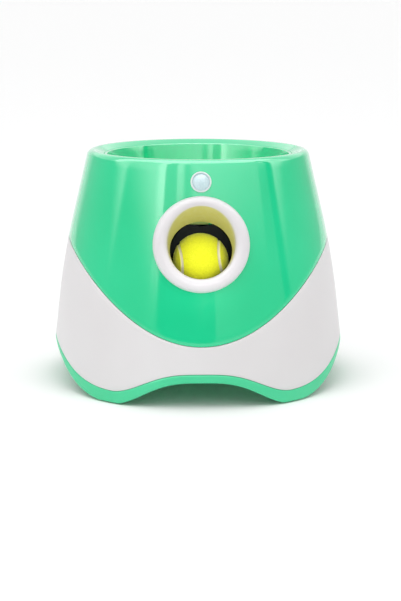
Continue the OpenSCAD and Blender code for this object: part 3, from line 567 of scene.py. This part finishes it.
def bossRings():
    return [
        flatRing(boss["bore"], boss["low"]),
        flatRing(boss["radius"], boss["low"]),
        flatRing(boss["radius"], boss["high"] - boss["edge"]),
        flatRing(boss["radius"] - boss["edge"], boss["high"]),
        flatRing(boss["bore"], boss["high"]),
    ]


lowerShell = loftRings("lowerShell", lowerRings(), housing["columns"])
bosses = atCorners(loftRings("boss", bossRings(), boss["columns"]), boss["x"], boss["y"])
pickOnly(lowerShell)
for piece in bosses:
    piece.select_set(True)
bpy.ops.object.join()
finishPiece(lowerShell, "housing", "lower_shell", whiteAbs)


# ---- base: the arched band, the floor above it, the feet and the battery well ----
def baseRings():
    wall = housing["wall"]
    lip = wall + housing["fit"]
    inside = lip + wall
    edge = band["edge"]
    soft = band["soft"]
    nearly = band["nearly"]
    floor = band["floor"]
    below = floor - wall
    reaches = (pole, *band["reaches"])
    rings = [flatRing(reach, below) for reach in reaches]
    rings.append(lambda angle: turned(wallRadius(angle, below, inside), angle, below))
    for share in shares(3, 1):
        rings.append(wallRing(soleHeight, inside, 0, below, 1 - share))
    rings += [
        wallRing(soleHeight, edge, 0),
        wallRing(soleHeight, edge * 0.3, edge * 0.3),
    ]
    for share in shares(6):
        rings.append(betweenRing(soleHeight, bandHeight, 0, edge, -soft, share))
    rings += [
        wallRing(bandHeight, nearly, -nearly),
        wallRing(bandHeight, soft, 0),
        wallRing(bandHeight, lip, 0),
        lambda angle: turned(wallRadius(angle, floor, lip), angle, floor),
    ]
    return rings + [flatRing(reach, floor) for reach in reversed(reaches)]


well = {"x": 56, "low": -29.8, "high": 53.8, "bottom": 8, "ceiling": 39.5, "wall": 2.5,
        "top": 41, "grooveIn": 1.2, "grooveLow": 9, "grooveHigh": 11.6, "run": 20,
        "gripX": 11, "gripY": 12, "gripLow": 7, "gripHigh": 10}
feet = {"x": 76, "y": 113, "radius": 10, "pad": 3, "wall": 4, "gap": 0.3, "sole": 1.2,
        "edge": 0.6, "top": 40.5, "inset": 2.9, "inside": (-5, 20, 60), "columns": 64,
        "wallColumns": 180}


def footRings():
    outer = feet["radius"] + feet["wall"]
    socket = feet["radius"] + feet["gap"]
    return [
        flatRing(pole, feet["pad"]),
        flatRing(socket, feet["pad"]),
        flatRing(socket, feet["sole"]),
        flatRing(outer - feet["edge"], feet["sole"]),
        flatRing(outer, feet["sole"] + feet["edge"]),
        flatRing(outer, feet["top"]),
        flatRing(pole, feet["top"]),
    ]


base = loftRings("base", baseRings(), housing["columns"], ends="poles")
wide = well["x"] + well["wall"]
combine(base, block("wellBox", (-wide, well["low"] - well["wall"], well["bottom"]),
                    (wide, well["high"] + well["wall"], well["top"])), "UNION")
combine(base, block("wellSpace", (-well["x"], well["low"], 0),
                    (well["x"], well["high"], well["ceiling"])), "DIFFERENCE")
grooveX = well["x"] + well["grooveIn"]
combine(base, block("doorGroove", (-grooveX, well["low"] - well["grooveIn"], well["grooveLow"]),
                    (grooveX, well["high"] + well["run"], well["grooveHigh"])), "DIFFERENCE")
combine(base, block("gripNotch", (-well["gripX"], well["gripY"], well["gripLow"]),
                    (well["gripX"], well["high"] + well["run"], well["gripHigh"])), "DIFFERENCE")


def insideRing(z):
    # just inside the housing's wall, and below the floor as wide as on it
    return lambda angle: turned(wallRadius(angle, max(z, 0), feet["inset"]), angle, z)


# the feet stand half under the wall, so each is cut to what lies inside it
insideLow, insideMiddle, insideHigh = feet["inside"]
insideWalls = loftRings("insideWalls", [
    flatRing(pole, insideLow), insideRing(insideLow), insideRing(insideMiddle),
    insideRing(insideHigh), flatRing(pole, insideHigh),
], feet["wallColumns"], ends="poles")
foot = loftRings("foot", footRings(), feet["columns"], ends="poles")
for piece in atCorners(foot, feet["x"], feet["y"]):
    combine(piece, insideWalls, "INTERSECT", keep=True)
    combine(base, piece, "UNION")
bpy.data.objects.remove(insideWalls, do_unlink=True)
finishPiece(base, "housing", "base", mintBand)

# ---- bowl: a round wall that runs into a tilted funnel with the outlet at its foot ----
bowlShape = {
    "outlet": (0, -41.964, 155),
    "outletR": 29,
    "tilt": 15,
    "half": 55,
    "wall": 2.5,
    "taper": 0.217,
    "topR": 88,
    "columns": 288,
    "fillet": 9,
    "search": (-60, 160),
    "searchRounds": 34,
    "joinZ": 185,
    "joinRounds": 30,
    # steps of the rounded lip, inward from its edge and down from its top
    "lip": ((2.5, 0.3), (1.9, 0), (0.7, 0), (0.2, 0.2), (0, 0.7)),
}
tilt = math.radians(bowlShape["tilt"])
spread = math.tan(math.radians(bowlShape["half"]))
drop = bowlShape["wall"] / math.sin(math.radians(bowlShape["half"]))


def reachTo(radius, angle):
    # from the outlet's middle out to a circle round the housing's axis
    offset = bowlShape["outlet"][1]
    along = offset * math.sin(angle)
    return -along + math.sqrt(along ** 2 - offset ** 2 + radius ** 2)


def bowlWallReach(angle, z, grow):
    return reachTo(bowlShape["topR"] + grow - bowlShape["taper"] * (rim["seamZ"] - z), angle)


def funnelHeight(angle, reach, grow):
    # how high a cone with a tilted axis stands over a place, found by halving
    across = reach * math.cos(angle)
    along = reach * math.sin(angle)
    lift = (grow + bowlShape["wall"]) * drop / bowlShape["wall"]

    def outside(z):
        leant = along * math.cos(tilt) - z * math.sin(tilt)
        up = along * math.sin(tilt) + z * math.cos(tilt) + lift
        return math.hypot(across, leant) > bowlShape["outletR"] + up * spread

    height = closeIn(*bowlShape["search"], bowlShape["searchRounds"], outside)
    return bowlShape["outlet"][2] + height


def outletReach(angle):
    return bowlShape["outletR"] / math.hypot(math.cos(angle), math.sin(angle) / math.cos(tilt))


def junction(angle, grow):
    # where the funnel meets the round wall
    z = bowlShape["joinZ"]
    for step in range(bowlShape["joinRounds"]):
        z += 0.5 * (funnelHeight(angle, bowlWallReach(angle, z, grow), grow) - z)
    return bowlWallReach(angle, z, grow), z


def fromOutlet(reach, angle, z):
    x, y = bowlShape["outlet"][:2]
    return (x + reach * math.cos(angle), y + reach * math.sin(angle), z)


def joint(angle, grow):
    return joints[grow][round(angle * bowlShape["columns"] / (2 * math.pi))]


def funnelRing(share, grow):
    def ring(angle):
        start = outletReach(angle)
        end = joint(angle, grow)[0] - bowlShape["fillet"]
        here = start + (end - start) * share
        return fromOutlet(here, angle, funnelHeight(angle, here, grow))
    return ring


def filletRing(share, grow):
    def ring(angle):
        reach, z = joint(angle, grow)
        size = bowlShape["fillet"]
        start = fromOutlet(reach - size, angle, funnelHeight(angle, reach - size, grow))
        end = fromOutlet(bowlWallReach(angle, z + size, grow), angle, z + size)
        return roundedCorner(start, fromOutlet(reach, angle, z), end, share)
    return ring


def bowlWallRing(share, grow, topZ):
    def ring(angle):
        low = joint(angle, grow)[1] + bowlShape["fillet"]
        here = low + (topZ - low) * share
        return fromOutlet(bowlWallReach(angle, here, grow), angle, here)
    return ring


def lipRing(radius, z):
    return lambda angle: fromOutlet(reachTo(radius, angle), angle, z)


# the junction of each column, on the inside and the outside of the bowl
joints = {}
for grow in (-bowlShape["wall"], 0):
    joints[grow] = [
        junction(2 * math.pi * column / bowlShape["columns"], grow)
        for column in range(bowlShape["columns"])
    ]


def bowlRings():
    inner = -bowlShape["wall"]
    top = rim["seamZ"]
    outer = bowlShape["topR"]
    rings = [funnelRing(share, inner) for share in shares(6)]
    rings += [filletRing(share, inner) for share in shares(6, 1)]
    rings += [bowlWallRing(share, inner, top - 1) for share in shares(4, 1)]
    rings += [lipRing(outer - inward, top - down) for inward, down in bowlShape["lip"]]
    rings += [lipRing(outer, rim["ledgeZ"]), bowlWallRing(1, 0, rim["ledgeZ"])]
    rings += [filletRing(1 - share, 0) for share in shares(3)]
    rings += [funnelRing(1 - share, 0) for share in shares(2, 1)]
    return rings


ballPath = {"ballY": -94.564, "ballZ": 123.1, "lift": 2.3, "chute": 34, "bore": 28.4,
            "deep": 80, "middle": 30, "launch": 32, "sleeve": 30.9}

bowl = loftRings("bowl", bowlRings(), bowlShape["columns"])
chuteCutter = cutter("chuteCutter", ballPath["deep"], ballPath["bore"], ballPath["middle"])
chuteFrame = (
    Matrix.Translation((0, ballPath["ballY"] * mm, ballPath["ballZ"] * mm))
    @ Matrix.Rotation(math.radians(ballPath["chute"]), 4, "X")
    @ Matrix.Translation((0, 0, ballPath["lift"] * mm))
)
settle(chuteCutter, chuteFrame @ Matrix.Rotation(math.radians(-90), 4, "X"))
combine(bowl, chuteCutter, "DIFFERENCE")
finishPiece(bowl, "housing", "bowl", mintAbs)

# ---- launch ring: a rolled lip round the tube's mouth, its sleeve running back inside ----
ringShape = {"outer": 42.9, "lip": 7, "collar": 37.7, "collarDepth": 9, "columns": 240,
             "foot": 0.5, "proud": 0.05, "fillet": 22, "blend": 2.2, "mouth": 30.1,
             "end": 27.7, "behind": 13, "search": (-20, 6), "turns": (90, 205), "rounds": 30}
bend = math.radians(ballPath["launch"] - housing["lean"])
ringFrame = wallFrame(180, ringPlace["z"])


def boreReach(angle, height, radius):
    # where a bore along the launch axis lies, seen from the ring's own axis
    across = math.cos(angle)
    along = math.sin(angle) * math.cos(bend)
    first = across ** 2 + along ** 2
    second = -2 * along * height * math.sin(bend)
    third = (height * math.sin(bend)) ** 2 - radius ** 2
    return (-second + math.sqrt(second ** 2 - 4 * first * third)) / (2 * first)


def surfaceHeight(angle, reach):
    # the housing's surface under the ring, in the ring's frame
    def inside(height):
        place = ringFrame @ (Vector(turned(reach, angle, height)) * mm) / mm
        return math.hypot(place.x, place.y) <= wallRadius(math.atan2(place.y, place.x), place.z)

    return closeIn(*ringShape["search"], ringShape["rounds"], inside)


def lipRound(angle, turn):
    reach = ringShape["outer"] - ringShape["lip"] + ringShape["lip"] * math.cos(turn)
    return turned(reach, angle, ringShape["lip"] * math.sin(turn))


def lipAngle(angle):
    # how far the round lip turns before it meets the bore
    def outside(turn):
        x, y, height = lipRound(angle, turn)
        return math.hypot(x, y) > boreReach(angle, height, ringShape["mouth"])

    first, last = ringShape["turns"]
    return closeIn(math.radians(first), math.radians(last), ringShape["rounds"], outside)


def sleevePoint(angle, radius, behind):
    # a ring square to the launch axis, so far behind the ring's middle
    across = radius * math.cos(angle)
    along = radius * math.sin(angle)
    return (
        across,
        along * math.cos(bend) - behind * math.sin(bend),
        -along * math.sin(bend) - behind * math.cos(bend),
    )


def boreStart(angle):
    height = ringShape["lip"] * math.sin(lipAngle(angle)) - ringShape["blend"]
    return turned(boreReach(angle, height, ringShape["mouth"]), angle, height)


def boreRing(share, behind):
    # the bore, from just inside the lip back to the sleeve's end
    def ring(angle):
        end = Vector(sleevePoint(angle, ringShape["end"], behind))
        return Vector(boreStart(angle)).lerp(end, share)
    return ring


def lipFillet(share):
    def ring(angle):
        turn = lipAngle(angle)
        start = lipRound(angle, turn - math.radians(ringShape["fillet"]))
        return roundedCorner(start, lipRound(angle, turn), boreStart(angle), share)
    return ring


def lipArc(share):
    def ring(angle):
        last = lipAngle(angle) - math.radians(ringShape["fillet"])
        return lipRound(angle, last * share)
    return ring


def standing(reach, lift):
    # a ring that follows the housing's surface, a little above it
    def ring(angle):
        return turned(reach, angle, surfaceHeight(angle, reach) + ringShape["proud"] + lift)
    return ring


def ringRings():
    behind = ringShape["behind"]
    outer = ringShape["outer"]
    foot = ringShape["foot"]
    collar = ringShape["collar"]
    sleeve = ballPath["sleeve"]
    depth = -ringShape["collarDepth"]
    rings = [
        lambda angle: sleevePoint(angle, sleeve, behind),
        lambda angle: turned(boreReach(angle, depth, sleeve), angle, depth),
        flatRing(collar, depth),
        standing(collar, 0),
        standing(outer - foot, 0),
        standing(outer, foot),
    ]
    rings += [lipArc(share) for share in shares(20)]
    rings += [lipFillet(share) for share in shares(5, 1)]
    rings += [boreRing(share, behind) for share in shares(5, 1)]
    return rings


launchRing = loftRings("launchRing", ringRings(), ringShape["columns"])
settle(launchRing, ringFrame)
finishPiece(launchRing, "housing", "launch_ring", ringAbs, smooth=40)

# where the ball's yellow bounce light is painted into the bore: from clean to olive going back,
# and how near a face is to the bore
paintedBounceZone = {"fromY": -128, "toY": -114, "radius": 30.2, "reach": 16.5, "chute": 28.7}


def paintedBounceBoreFinish(name):
    # ABS that the balls rub, with the ball's yellow bounce light painted in as an olive tint:
    # clean at the mouth and olive further in
    material, tree, place = newMaterial(name)
    depth = addNode(tree, "SeparateXYZ", {"Vector": place}).outputs["Y"]
    blotches = clouds(tree, place, size=5, detail=5, roughness=0.6, distortion=0.5)
    # painted bounce light: the olive grows going back along the bore, in random patches
    along = remap(tree, depth, paintedBounceZone["fromY"] * mm, paintedBounceZone["toY"] * mm, curve="SMOOTHSTEP")
    patchyBounce = remap(tree, blotches, low=0.2, high=0.8, first=0.85, last=1.1)
    share = addNode(tree, "Math", {0: along, 1: patchyBounce}, operation="MULTIPLY", use_clamp=True)
    finishTree(tree, {
        "Base Color": tint(tree, share.outputs[0], colour("#E6E4E2"), colour("#D6D07E")),
        "Roughness": 0.3, "IOR": 1.5, "Normal": relief(tree, blotches, strength=0.05, depth=0.05),
    })
    return material


paintedBounceBore = paintedBounceBoreFinish("absPaintedYellowBounce")
launchRing.data.materials.append(paintedBounceBore)
launchRise = math.radians(ballPath["launch"])
launchAxis = Vector((0, -math.cos(launchRise), math.sin(launchRise)))
# the bore's inward faces near the mouth get the painted bounce tint
for face in launchRing.data.polygons:
    away = (face.center - ringFrame.translation) / mm
    along = away.dot(launchAxis)
    square = away - launchAxis * along
    inward = face.normal.dot(square) < 0
    if inward and square.length < paintedBounceZone["radius"] and along < paintedBounceZone["reach"]:
        face.material_index = 1

# the chute's wall in the bowl gets the same painted olive, as painted shade over its lit cut face
bowl.data.materials.append(paintedBounceBore)
for face in bowl.data.polygons:
    place = chuteFrame.inverted() @ face.center / mm
    if math.hypot(place.x, place.z) < paintedBounceZone["chute"]:
        face.material_index = 1

# ---- the waiting ball: felt over rubber with one winding seam ----
ballShape = {"radius": 25.4, "fuzz": 0.35, "tuft": 34, "fibre": 80, "seamWide": 2.0,
             "seamDeep": 0.5, "seamSharp": 1.9, "edgeWide": 0.7, "edgeHigh": 0.18,
             "seamSteps": 360, "lobe": 0.83, "turn": -6, "nod": 14}


def seamPoints(count):
    # the curve on a unit sphere that parts a tennis ball into two equal covers
    wide = ballShape["lobe"]
    narrow = 1 - wide
    points = []
    for step in range(count):
        turn = 2 * math.pi * step / count
        points.append(Vector((
            wide * math.cos(turn) + narrow * math.cos(3 * turn),
            wide * math.sin(turn) - narrow * math.sin(3 * turn),
            2 * math.sqrt(wide * narrow) * math.sin(2 * turn),
        )))
    return points


def ballTurn():
    # the seam's two near arcs stand left and right of the middle, as in the photograph
    side = Vector((1, 1, 0)).normalized()
    up = Vector((-1, 1, 0)).normalized()
    near = Vector((0, 0, 1))
    basis = Matrix((side, up, near))
    toCamera = Matrix(((1, 0, 0), (0, 0, -1), (0, 1, 0)))
    roll = Matrix.Rotation(math.radians(ballShape["turn"]), 3, "Y")
    nod = Matrix.Rotation(math.radians(-ballShape["nod"]), 3, "X")
    return roll @ nod @ toCamera @ basis


ball = startFrom("ico_sphere", "ball", subdivisions=7, radius=ballShape["radius"] * mm)
turnBall = ballTurn()
seam = [turnBall @ point for point in seamPoints(ballShape["seamSteps"])]
seamTree = kdtree.KDTree(len(seam))
for number, point in enumerate(seam):
    seamTree.insert(point, number)
seamTree.balance()
seamShare = ball.data.attributes.new("seamShare", "FLOAT", "POINT")
for number, vert in enumerate(ball.data.vertices):
    way = vert.co.normalized()
    distance = seamTree.find(way)[2] * ballShape["radius"]
    share = max(0, 1 - distance / ballShape["seamWide"])
    share = min(1, share * ballShape["seamSharp"])
    share = share * share * (3 - 2 * share)
    tufts = noise.noise(way * ballShape["tuft"])
    fibres = noise.noise(way * ballShape["fibre"])
    fuzz = tufts * 0.6 + fibres * 0.4
    rise = ballShape["fuzz"] * fuzz * (1 - share) - ballShape["fuzz"]
    # the felt swells a little along the seam's edge
    past = (distance - ballShape["seamWide"]) / ballShape["edgeWide"]
    edge = math.exp(-past ** 2) * ballShape["edgeHigh"]
    vert.co = way * (ballShape["radius"] + rise + edge - ballShape["seamDeep"] * share) * mm
    seamShare.data[number].value = share
settle(ball, Matrix.Translation((0, ballPath["ballY"] * mm, ballPath["ballZ"] * mm)))


def feltFinish(name):
    # needled wool-nylon felt: matted fibres a few tenths of a millimetre wide, a soft edge glow,
    # and a smooth pale rubber seam sunk between the two covers
    material, tree, place = newMaterial(name)
    seamLine = addNode(tree, "Attribute", attribute_name="seamShare").outputs["Fac"]
    fibre = clouds(tree, place, size=1.1, detail=8, roughness=0.75, distortion=1.8)
    tuft = clouds(tree, place, size=4.5, detail=3, roughness=0.6)
    lift = remap(tree, fibre, low=0.3, high=0.7)
    worn = remap(tree, tuft, low=0.45, high=0.8, last=0.35)
    nap = tint(tree, lift, colour("#D2D900"), colour("#FFFD3C"))
    cover = tint(tree, worn, nap, colour("#E9EE1E"))
    finishTree(tree, {
        "Base Color": tint(tree, seamLine, cover, colour("#F1E9D6")), "Roughness": 0.95,
        "Normal": relief(tree, fibre, strength=0.75, depth=0.5), "Specular IOR Level": 0.15,
        "Sheen Weight": 0.9, "Sheen Roughness": 0.5, "Sheen Tint": colour("#F6FF8A"),
    })
    return material


ballFelt = feltFinish("yellowNeedledFelt")
finishPiece(ball, "ball", "ball", ballFelt, smooth=80)

# ---- motion sensor: trim ring pressed in the wall and its milky dome ----
sensor = {
    "face": 7.7, "gap": 0.05, "dome": 3.4, "lensDepth": 1.5, "columns": 96,
    # the trim ring's profile: radius, and height over the wall
    "trim": ((7.7, -5), (8.5, -5), (8.5, -0.4), (9.1, -0.4), (9.3, 0), (9.3, 0.48), (9.15, 0.9),
             (8.8, 1.2), (8.2, 1.2), (7.82, 0.96), (7.7, 0.36)),
}


def domeRings():
    edge = sensor["face"] - sensor["gap"]
    rise = sensor["dome"]
    back = -sensor["lensDepth"]
    sphere = (edge ** 2 + rise ** 2) / (2 * rise)
    full = math.asin(edge / sphere)
    rings = [flatRing(pole, back), flatRing(edge, back), flatRing(edge, 0)]
    for share in shares(12, 1):
        turn = full * (1 - share)
        rings.append(flatRing(
            max(sphere * math.sin(turn), pole), rise - sphere + sphere * math.cos(turn)))
    return rings


sensorFrame = wallFrame(180, sensorPlace["z"])
trimRings = [flatRing(radius, height) for radius, height in sensor["trim"]]
sensorRing = loftRings("sensorRing", trimRings, sensor["columns"])
settle(sensorRing, sensorFrame)
sensorDome = loftRings("sensorDome", domeRings(), sensor["columns"], ends="poles")
settle(sensorDome, sensorFrame)
# satin ABS trim, a touch greyer than the ring
trimAbs = mouldedFinish("sensorTrimAbsSatin", {
    "light": "#DDE3E4", "deep": "#D3DBDD", "rough": 0.3, "flow": 12, "bump": 0.1,
})


def domeFinish(name):
    # thin milky polyethylene with a pressed honeycomb of small lenses; the colour is painted
    # darker along their grooves as shade
    material, tree, place = newMaterial(name)
    cells = addNode(tree, "TexVoronoi", {
        "Vector": place, "Scale": 1 / (2.4 * mm), "Randomness": 0.25,
    }, feature="DISTANCE_TO_EDGE")
    grooveAndShade = remap(tree, cells.outputs["Distance"], low=0, high=0.12)
    # painted shade: the facet grooves are darker than the middles of the cells
    body = tint(tree, grooveAndShade, colour("#A9C6CC"), colour("#C6DCE0"))
    mist = clouds(tree, place, size=6, detail=2)
    finishTree(tree, {
        "Base Color": tint(tree, mist, body, colour("#D2E6EA")), "Roughness": 0.22, "IOR": 1.5,
        "Normal": relief(tree, grooveAndShade, strength=0.35, depth=0.15), "Subsurface Weight": 0.4,
        "Subsurface Radius": (0.8, 1, 1), "Subsurface Scale": 1.5 * mm,
    })
    return material


lensMilky = domeFinish("milkyPolyethyleneDome")
finishPiece(sensorRing, "housing", "sensor_ring", trimAbs)
finishPiece(sensorDome, "housing", "sensor_lens", lensMilky)
print("sensor made")

# ---- finishes of all slots, those of the made pieces first ----
finishOfSlot = {
    "shell_green": mintAbs, "base_green": mintBand, "shell_white": whiteAbs,
    "ring_white": ringAbs, "ball_felt": ballFelt, "sensor_trim": trimAbs, "lens": lensMilky,
    # grey ABS inside the launch path, painted near-black as shade round the ball, and dull from
    # the felt that rubs it
    "chamber_grey": mouldedFinish("chamberAbsPaintedShade", {
        "light": "#0B0C0A", "deep": "#070806", "rough": 0.85, "smudge": 0.1, "ior": 1.2,
        "marks": 4, "bump": 0.15,
    }),
    # black ABS from a spark-eroded mould: an even matt grain of about a millimetre
    "black_plastic": mouldedFinish("blackAbsGrained", {
        "light": "#2A2C2E", "deep": "#202224", "rough": 0.45, "grain": 1.1, "bump": 0.3,
    }),
    # glass-filled nylon: dense black with a waxy sheen
    "striker_black": mouldedFinish("blackNylonGlassFilled", {
        "light": "#26282A", "deep": "#1C1D1F", "rough": 0.34, "grain": 0.7, "bump": 0.2,
    }),
    # moulded rubber: almost no gloss and a little bloom
    "rubber_black": mouldedFinish("blackRubberMoulded", {
        "light": "#34363A", "deep": "#26282A", "rough": 0.7, "grain": 0.8, "bump": 0.3,
        "ior": 1.45,
    }),
    # natural acetal gears: translucent ivory, soft gloss
    "gear_nylon": mouldedFinish("naturalAcetal", {
        "light": "#F1EEE2", "deep": "#E7E3D3", "rough": 0.3, "grain": 0.6, "bump": 0.08,
        "under": 0.3, "underDepth": 2,
    }),
    # the rear panel is white ABS with a fine even texture
    "panel_white": mouldedFinish("whitePanelAbsTextured", {
        "light": "#EDEBEC", "deep": "#E5E3E4", "rough": 0.36, "grain": 0.8, "bump": 0.2,
    }),
    # button caps are polished ABS
    "button_white": mouldedFinish("whiteButtonAbsGloss", {
        "light": "#F4F3F3", "deep": "#ECEBEB", "rough": 0.18, "coat": 0.3, "bump": 0.04,
    }),
    # clear acrylic light pipes, frosted at the face
    "light_clear": mouldedFinish("frostedAcrylicLight", {
        "light": "#E4F0F2", "deep": "#D2E6EA", "rough": 0.2, "ior": 1.49, "under": 0.5,
        "underDepth": 1.5,
    }),
    # shrink-wrapped film on the cells: plain graphite, glossy
    "cell_jacket": mouldedFinish("graphiteShrinkFilm", {
        "light": "#3B4046", "deep": "#2C3035", "rough": 0.22, "flow": 20, "wave": 0.3,
        "coat": 0.4,
    }),
    # solder mask over the board's copper: glossy green over a fine weave
    "board_green": mouldedFinish("greenSolderMask", {
        "light": "#1F7A4A", "deep": "#155E38", "rough": 0.3, "flow": 5, "grain": 0.9,
        "bump": 0.25,
    }),
    # zinc-plated screws and pins, faintly blue
    "steel": metalFinish("zincPlatedSteel", {
        "light": "#C9CDD2", "deep": "#A9AFB6", "rough": 0.3, "patch": 3,
    }),
    # cold-rolled plate with rolling lines along its length
    "plate_steel": metalFinish("coldRolledPlate", {
        "light": "#B9BDC1", "deep": "#9CA1A6", "rough": 0.34, "stretch": (1, 0.08, 1),
        "grain": 0.5,
    }),
    # turned brass bushes and pinion, warm with fine turning lines
    "brass": metalFinish("turnedBrass", {
        "light": "#D8B566", "deep": "#BE9648", "rough": 0.26, "stretch": (1.6, 1, 1),
        "grain": 0.4,
    }),
    # nickel-plated motor can, drawn, so smooth and bright
    "motor_can": metalFinish("nickelPlatedCan", {
        "light": "#D0D2D3", "deep": "#B4B7B9", "rough": 0.2, "stretch": (0.2, 1, 1),
        "grain": 0.8,
    }),
}
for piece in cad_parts.values():
    for slotRow in piece.material_slots:
        slotRow.material = finishOfSlot[slotRow.material.name.split(".")[0]]
print("node finishes set", len(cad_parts))

# ---- the studio: a pale floor and soft boxes ----
studio = {
    "floorColour": "#FBFBFB",
    "floorSize": 60,
    "world": 1.0,
    "glossLow": 0.5,
    "glossHigh": 1.4,
    "glossBack": 1.0,
    "middle": (0, 0, 110),
    "reach": 2200,
}
floorPiece = startFrom("plane", "paleFloor", size=studio["floorSize"])
floorMaterial, floorTree, floorPlace = newMaterial("matteStudioPaper")
paper = clouds(floorTree, floorPlace, size=2.5, detail=3)
finishTree(floorTree, {
    "Base Color": colour(studio["floorColour"]), "Roughness": 0.9, "Specular IOR Level": 0.1,
    "Normal": relief(floorTree, paper, strength=0.05, depth=0.1),
})
floorPiece.data.materials.append(floorMaterial)

# the room is white, but where the gloss mirrors it, it is darker near the floor in front
world = bpy.data.worlds.new("studioWorld")
world.use_nodes = True
worldTree = world.node_tree
worldTree.nodes.clear()
ray = addNode(worldTree, "LightPath")
heading = addNode(worldTree, "SeparateXYZ", {
    "Vector": addNode(worldTree, "TexCoord").outputs["Generated"],
})
climb = remap(worldTree, heading.outputs["Z"], low=0.24, high=0.34, first=studio["glossLow"],
              last=studio["glossHigh"], curve="SMOOTHSTEP")
# behind the object the paper sweep is lit, which the rim's flat top mirrors
behind = remap(worldTree, heading.outputs["Y"], low=0.55, high=0.92, last=studio["glossBack"],
               curve="SMOOTHSTEP")
mirrored = addNode(worldTree, "Math", {0: climb, 1: behind}, operation="MAXIMUM")
strength = addNode(worldTree, "Mix", {
    0: ray.outputs["Is Glossy Ray"], 2: studio["world"], 3: mirrored.outputs[0],
}, data_type="FLOAT")
sky = addNode(worldTree, "Background", {
    "Color": (1, 1, 1, 1), "Strength": strength.outputs[0],
})
worldOut = addNode(worldTree, "OutputWorld")
worldTree.links.new(sky.outputs["Background"], worldOut.inputs["Surface"])
bpy.context.scene.world = world


def newLamp(name, kind, where, target, **settings):
    data = bpy.data.lights.new(name, kind)
    for key, value in settings.items():
        setattr(data, key, value)
    lamp = bpy.data.objects.new(name, data)
    bpy.context.scene.collection.objects.link(lamp)
    aimAt(lamp, where["azimuth"], where["elevation"], where["distance"], target)


# one large soft box high on the left gives the shapes and the floor their soft shade
keyPlace = {"azimuth": -20, "elevation": 62, "distance": 1900}
keyWidth, keyHeight, keyRadiance = 1.6, 1.2, 1.1
newLamp("keyBox", "AREA", keyPlace, studio["middle"], shape="RECTANGLE", size=keyWidth,
        size_y=keyHeight, energy=keyRadiance * math.pi * keyWidth * keyHeight)

# a lamp with a snoot looks into the launch tube, so the ball is as bright as in the photograph
snootPlace = {"azimuth": 2, "elevation": 9, "distance": 1700, "below": 8}
snootCone = 1.8
snootTarget = (0, ballPath["ballY"], ballPath["ballZ"] - snootPlace["below"])
newLamp("snoot", "SPOT", snootPlace, snootTarget,
        spot_size=math.radians(snootCone), spot_blend=1, energy=68, shadow_soft_size=0.03)

# glowing and black cards that only the gloss sees, as strip boxes and flags round a product:
# azimuth and elevation range, glow at the left and right edge, softness left, right, below, above
cards = [
    ((-100, -38), (15, 50), 1.5, 3.8, (0.5, 0.02, 0.22, 0)),
    ((-44, -33), (13, 50), 5.2, 6.4, (0.4, 0.04, 0.2, 0)),
    ((-23, -12), (16, 50), 4.4, 4.0, (0.1, 0.5, 0.2, 0)),
    ((-12, 66), (14.5, 50), 3.0, 1.8, (0.1, 0.05, 0.25, 0)),
    ((69, 80), (3, 50), 0.05, 0.1, (0.3, 0.3, 0.1, 0)),
    ((81, 116), (12, 50), 3.2, 3.2, (0.1, 0.4, 0.3, 0)),
    ((-36, 12), (-14, 18.5), 0.0, 0.02, (0.12, 0.01, 0, 0.08)),
    ((-88, 88), (47, 112), 5.6, 5.6, (0.35, 0.35, 0.25, 0)),
]
cardSides = (("X", -0.5, 1), ("X", 0.5, -1), ("Y", -0.5, 1), ("Y", 0.5, -1))


def reflectionCard(name, spans, rises, glowLeft, glowRight, softness):
    azimuth = sum(spans) / 2
    elevation = sum(rises) / 2
    reach = studio["reach"] * mm
    width = 2 * reach * math.tan(math.radians(spans[1] - spans[0]) / 2)
    height = 2 * reach * math.tan(math.radians(rises[1] - rises[0]) / 2)
    card = startFrom("plane", name, size=1)
    card.scale = (width * math.cos(math.radians(elevation)), height, 1)
    aimAt(card, azimuth, elevation, studio["reach"], studio["middle"])
    material, tree, onCard = newMaterial(name + "Diffuser")
    place = addNode(tree, "SeparateXYZ", {"Vector": onCard})
    cover = 1
    for (axis, edge, inward), soft in zip(cardSides, softness):
        if soft:
            fade = remap(tree, place.outputs[axis], edge, edge + inward * soft, curve="SMOOTHSTEP")
            cover = addNode(tree, "Math", {0: cover, 1: fade}, operation="MULTIPLY").outputs[0]
    glow = remap(tree, place.outputs["X"], -0.5, 0.5, glowLeft, glowRight)
    lamp = addNode(tree, "Emission", {"Color": (1, 1, 1, 1), "Strength": glow})
    clear = addNode(tree, "BsdfTransparent")
    both = addNode(tree, "MixShader", {
        0: cover, 1: clear.outputs["BSDF"], 2: lamp.outputs["Emission"],
    })
    out = addNode(tree, "OutputMaterial")
    tree.links.new(both.outputs["Shader"], out.inputs["Surface"])
    # the gloss finds the card by itself, so no light is aimed at it and no speckles appear
    material.cycles.emission_sampling = "NONE"
    card.data.materials.append(material)
    card.visible_camera = False
    card.visible_diffuse = False
    card.visible_shadow = False
    card.visible_transmission = False


for number, row in enumerate(cards):
    reflectionCard("card" + str(number), *row)
print("studio lit")
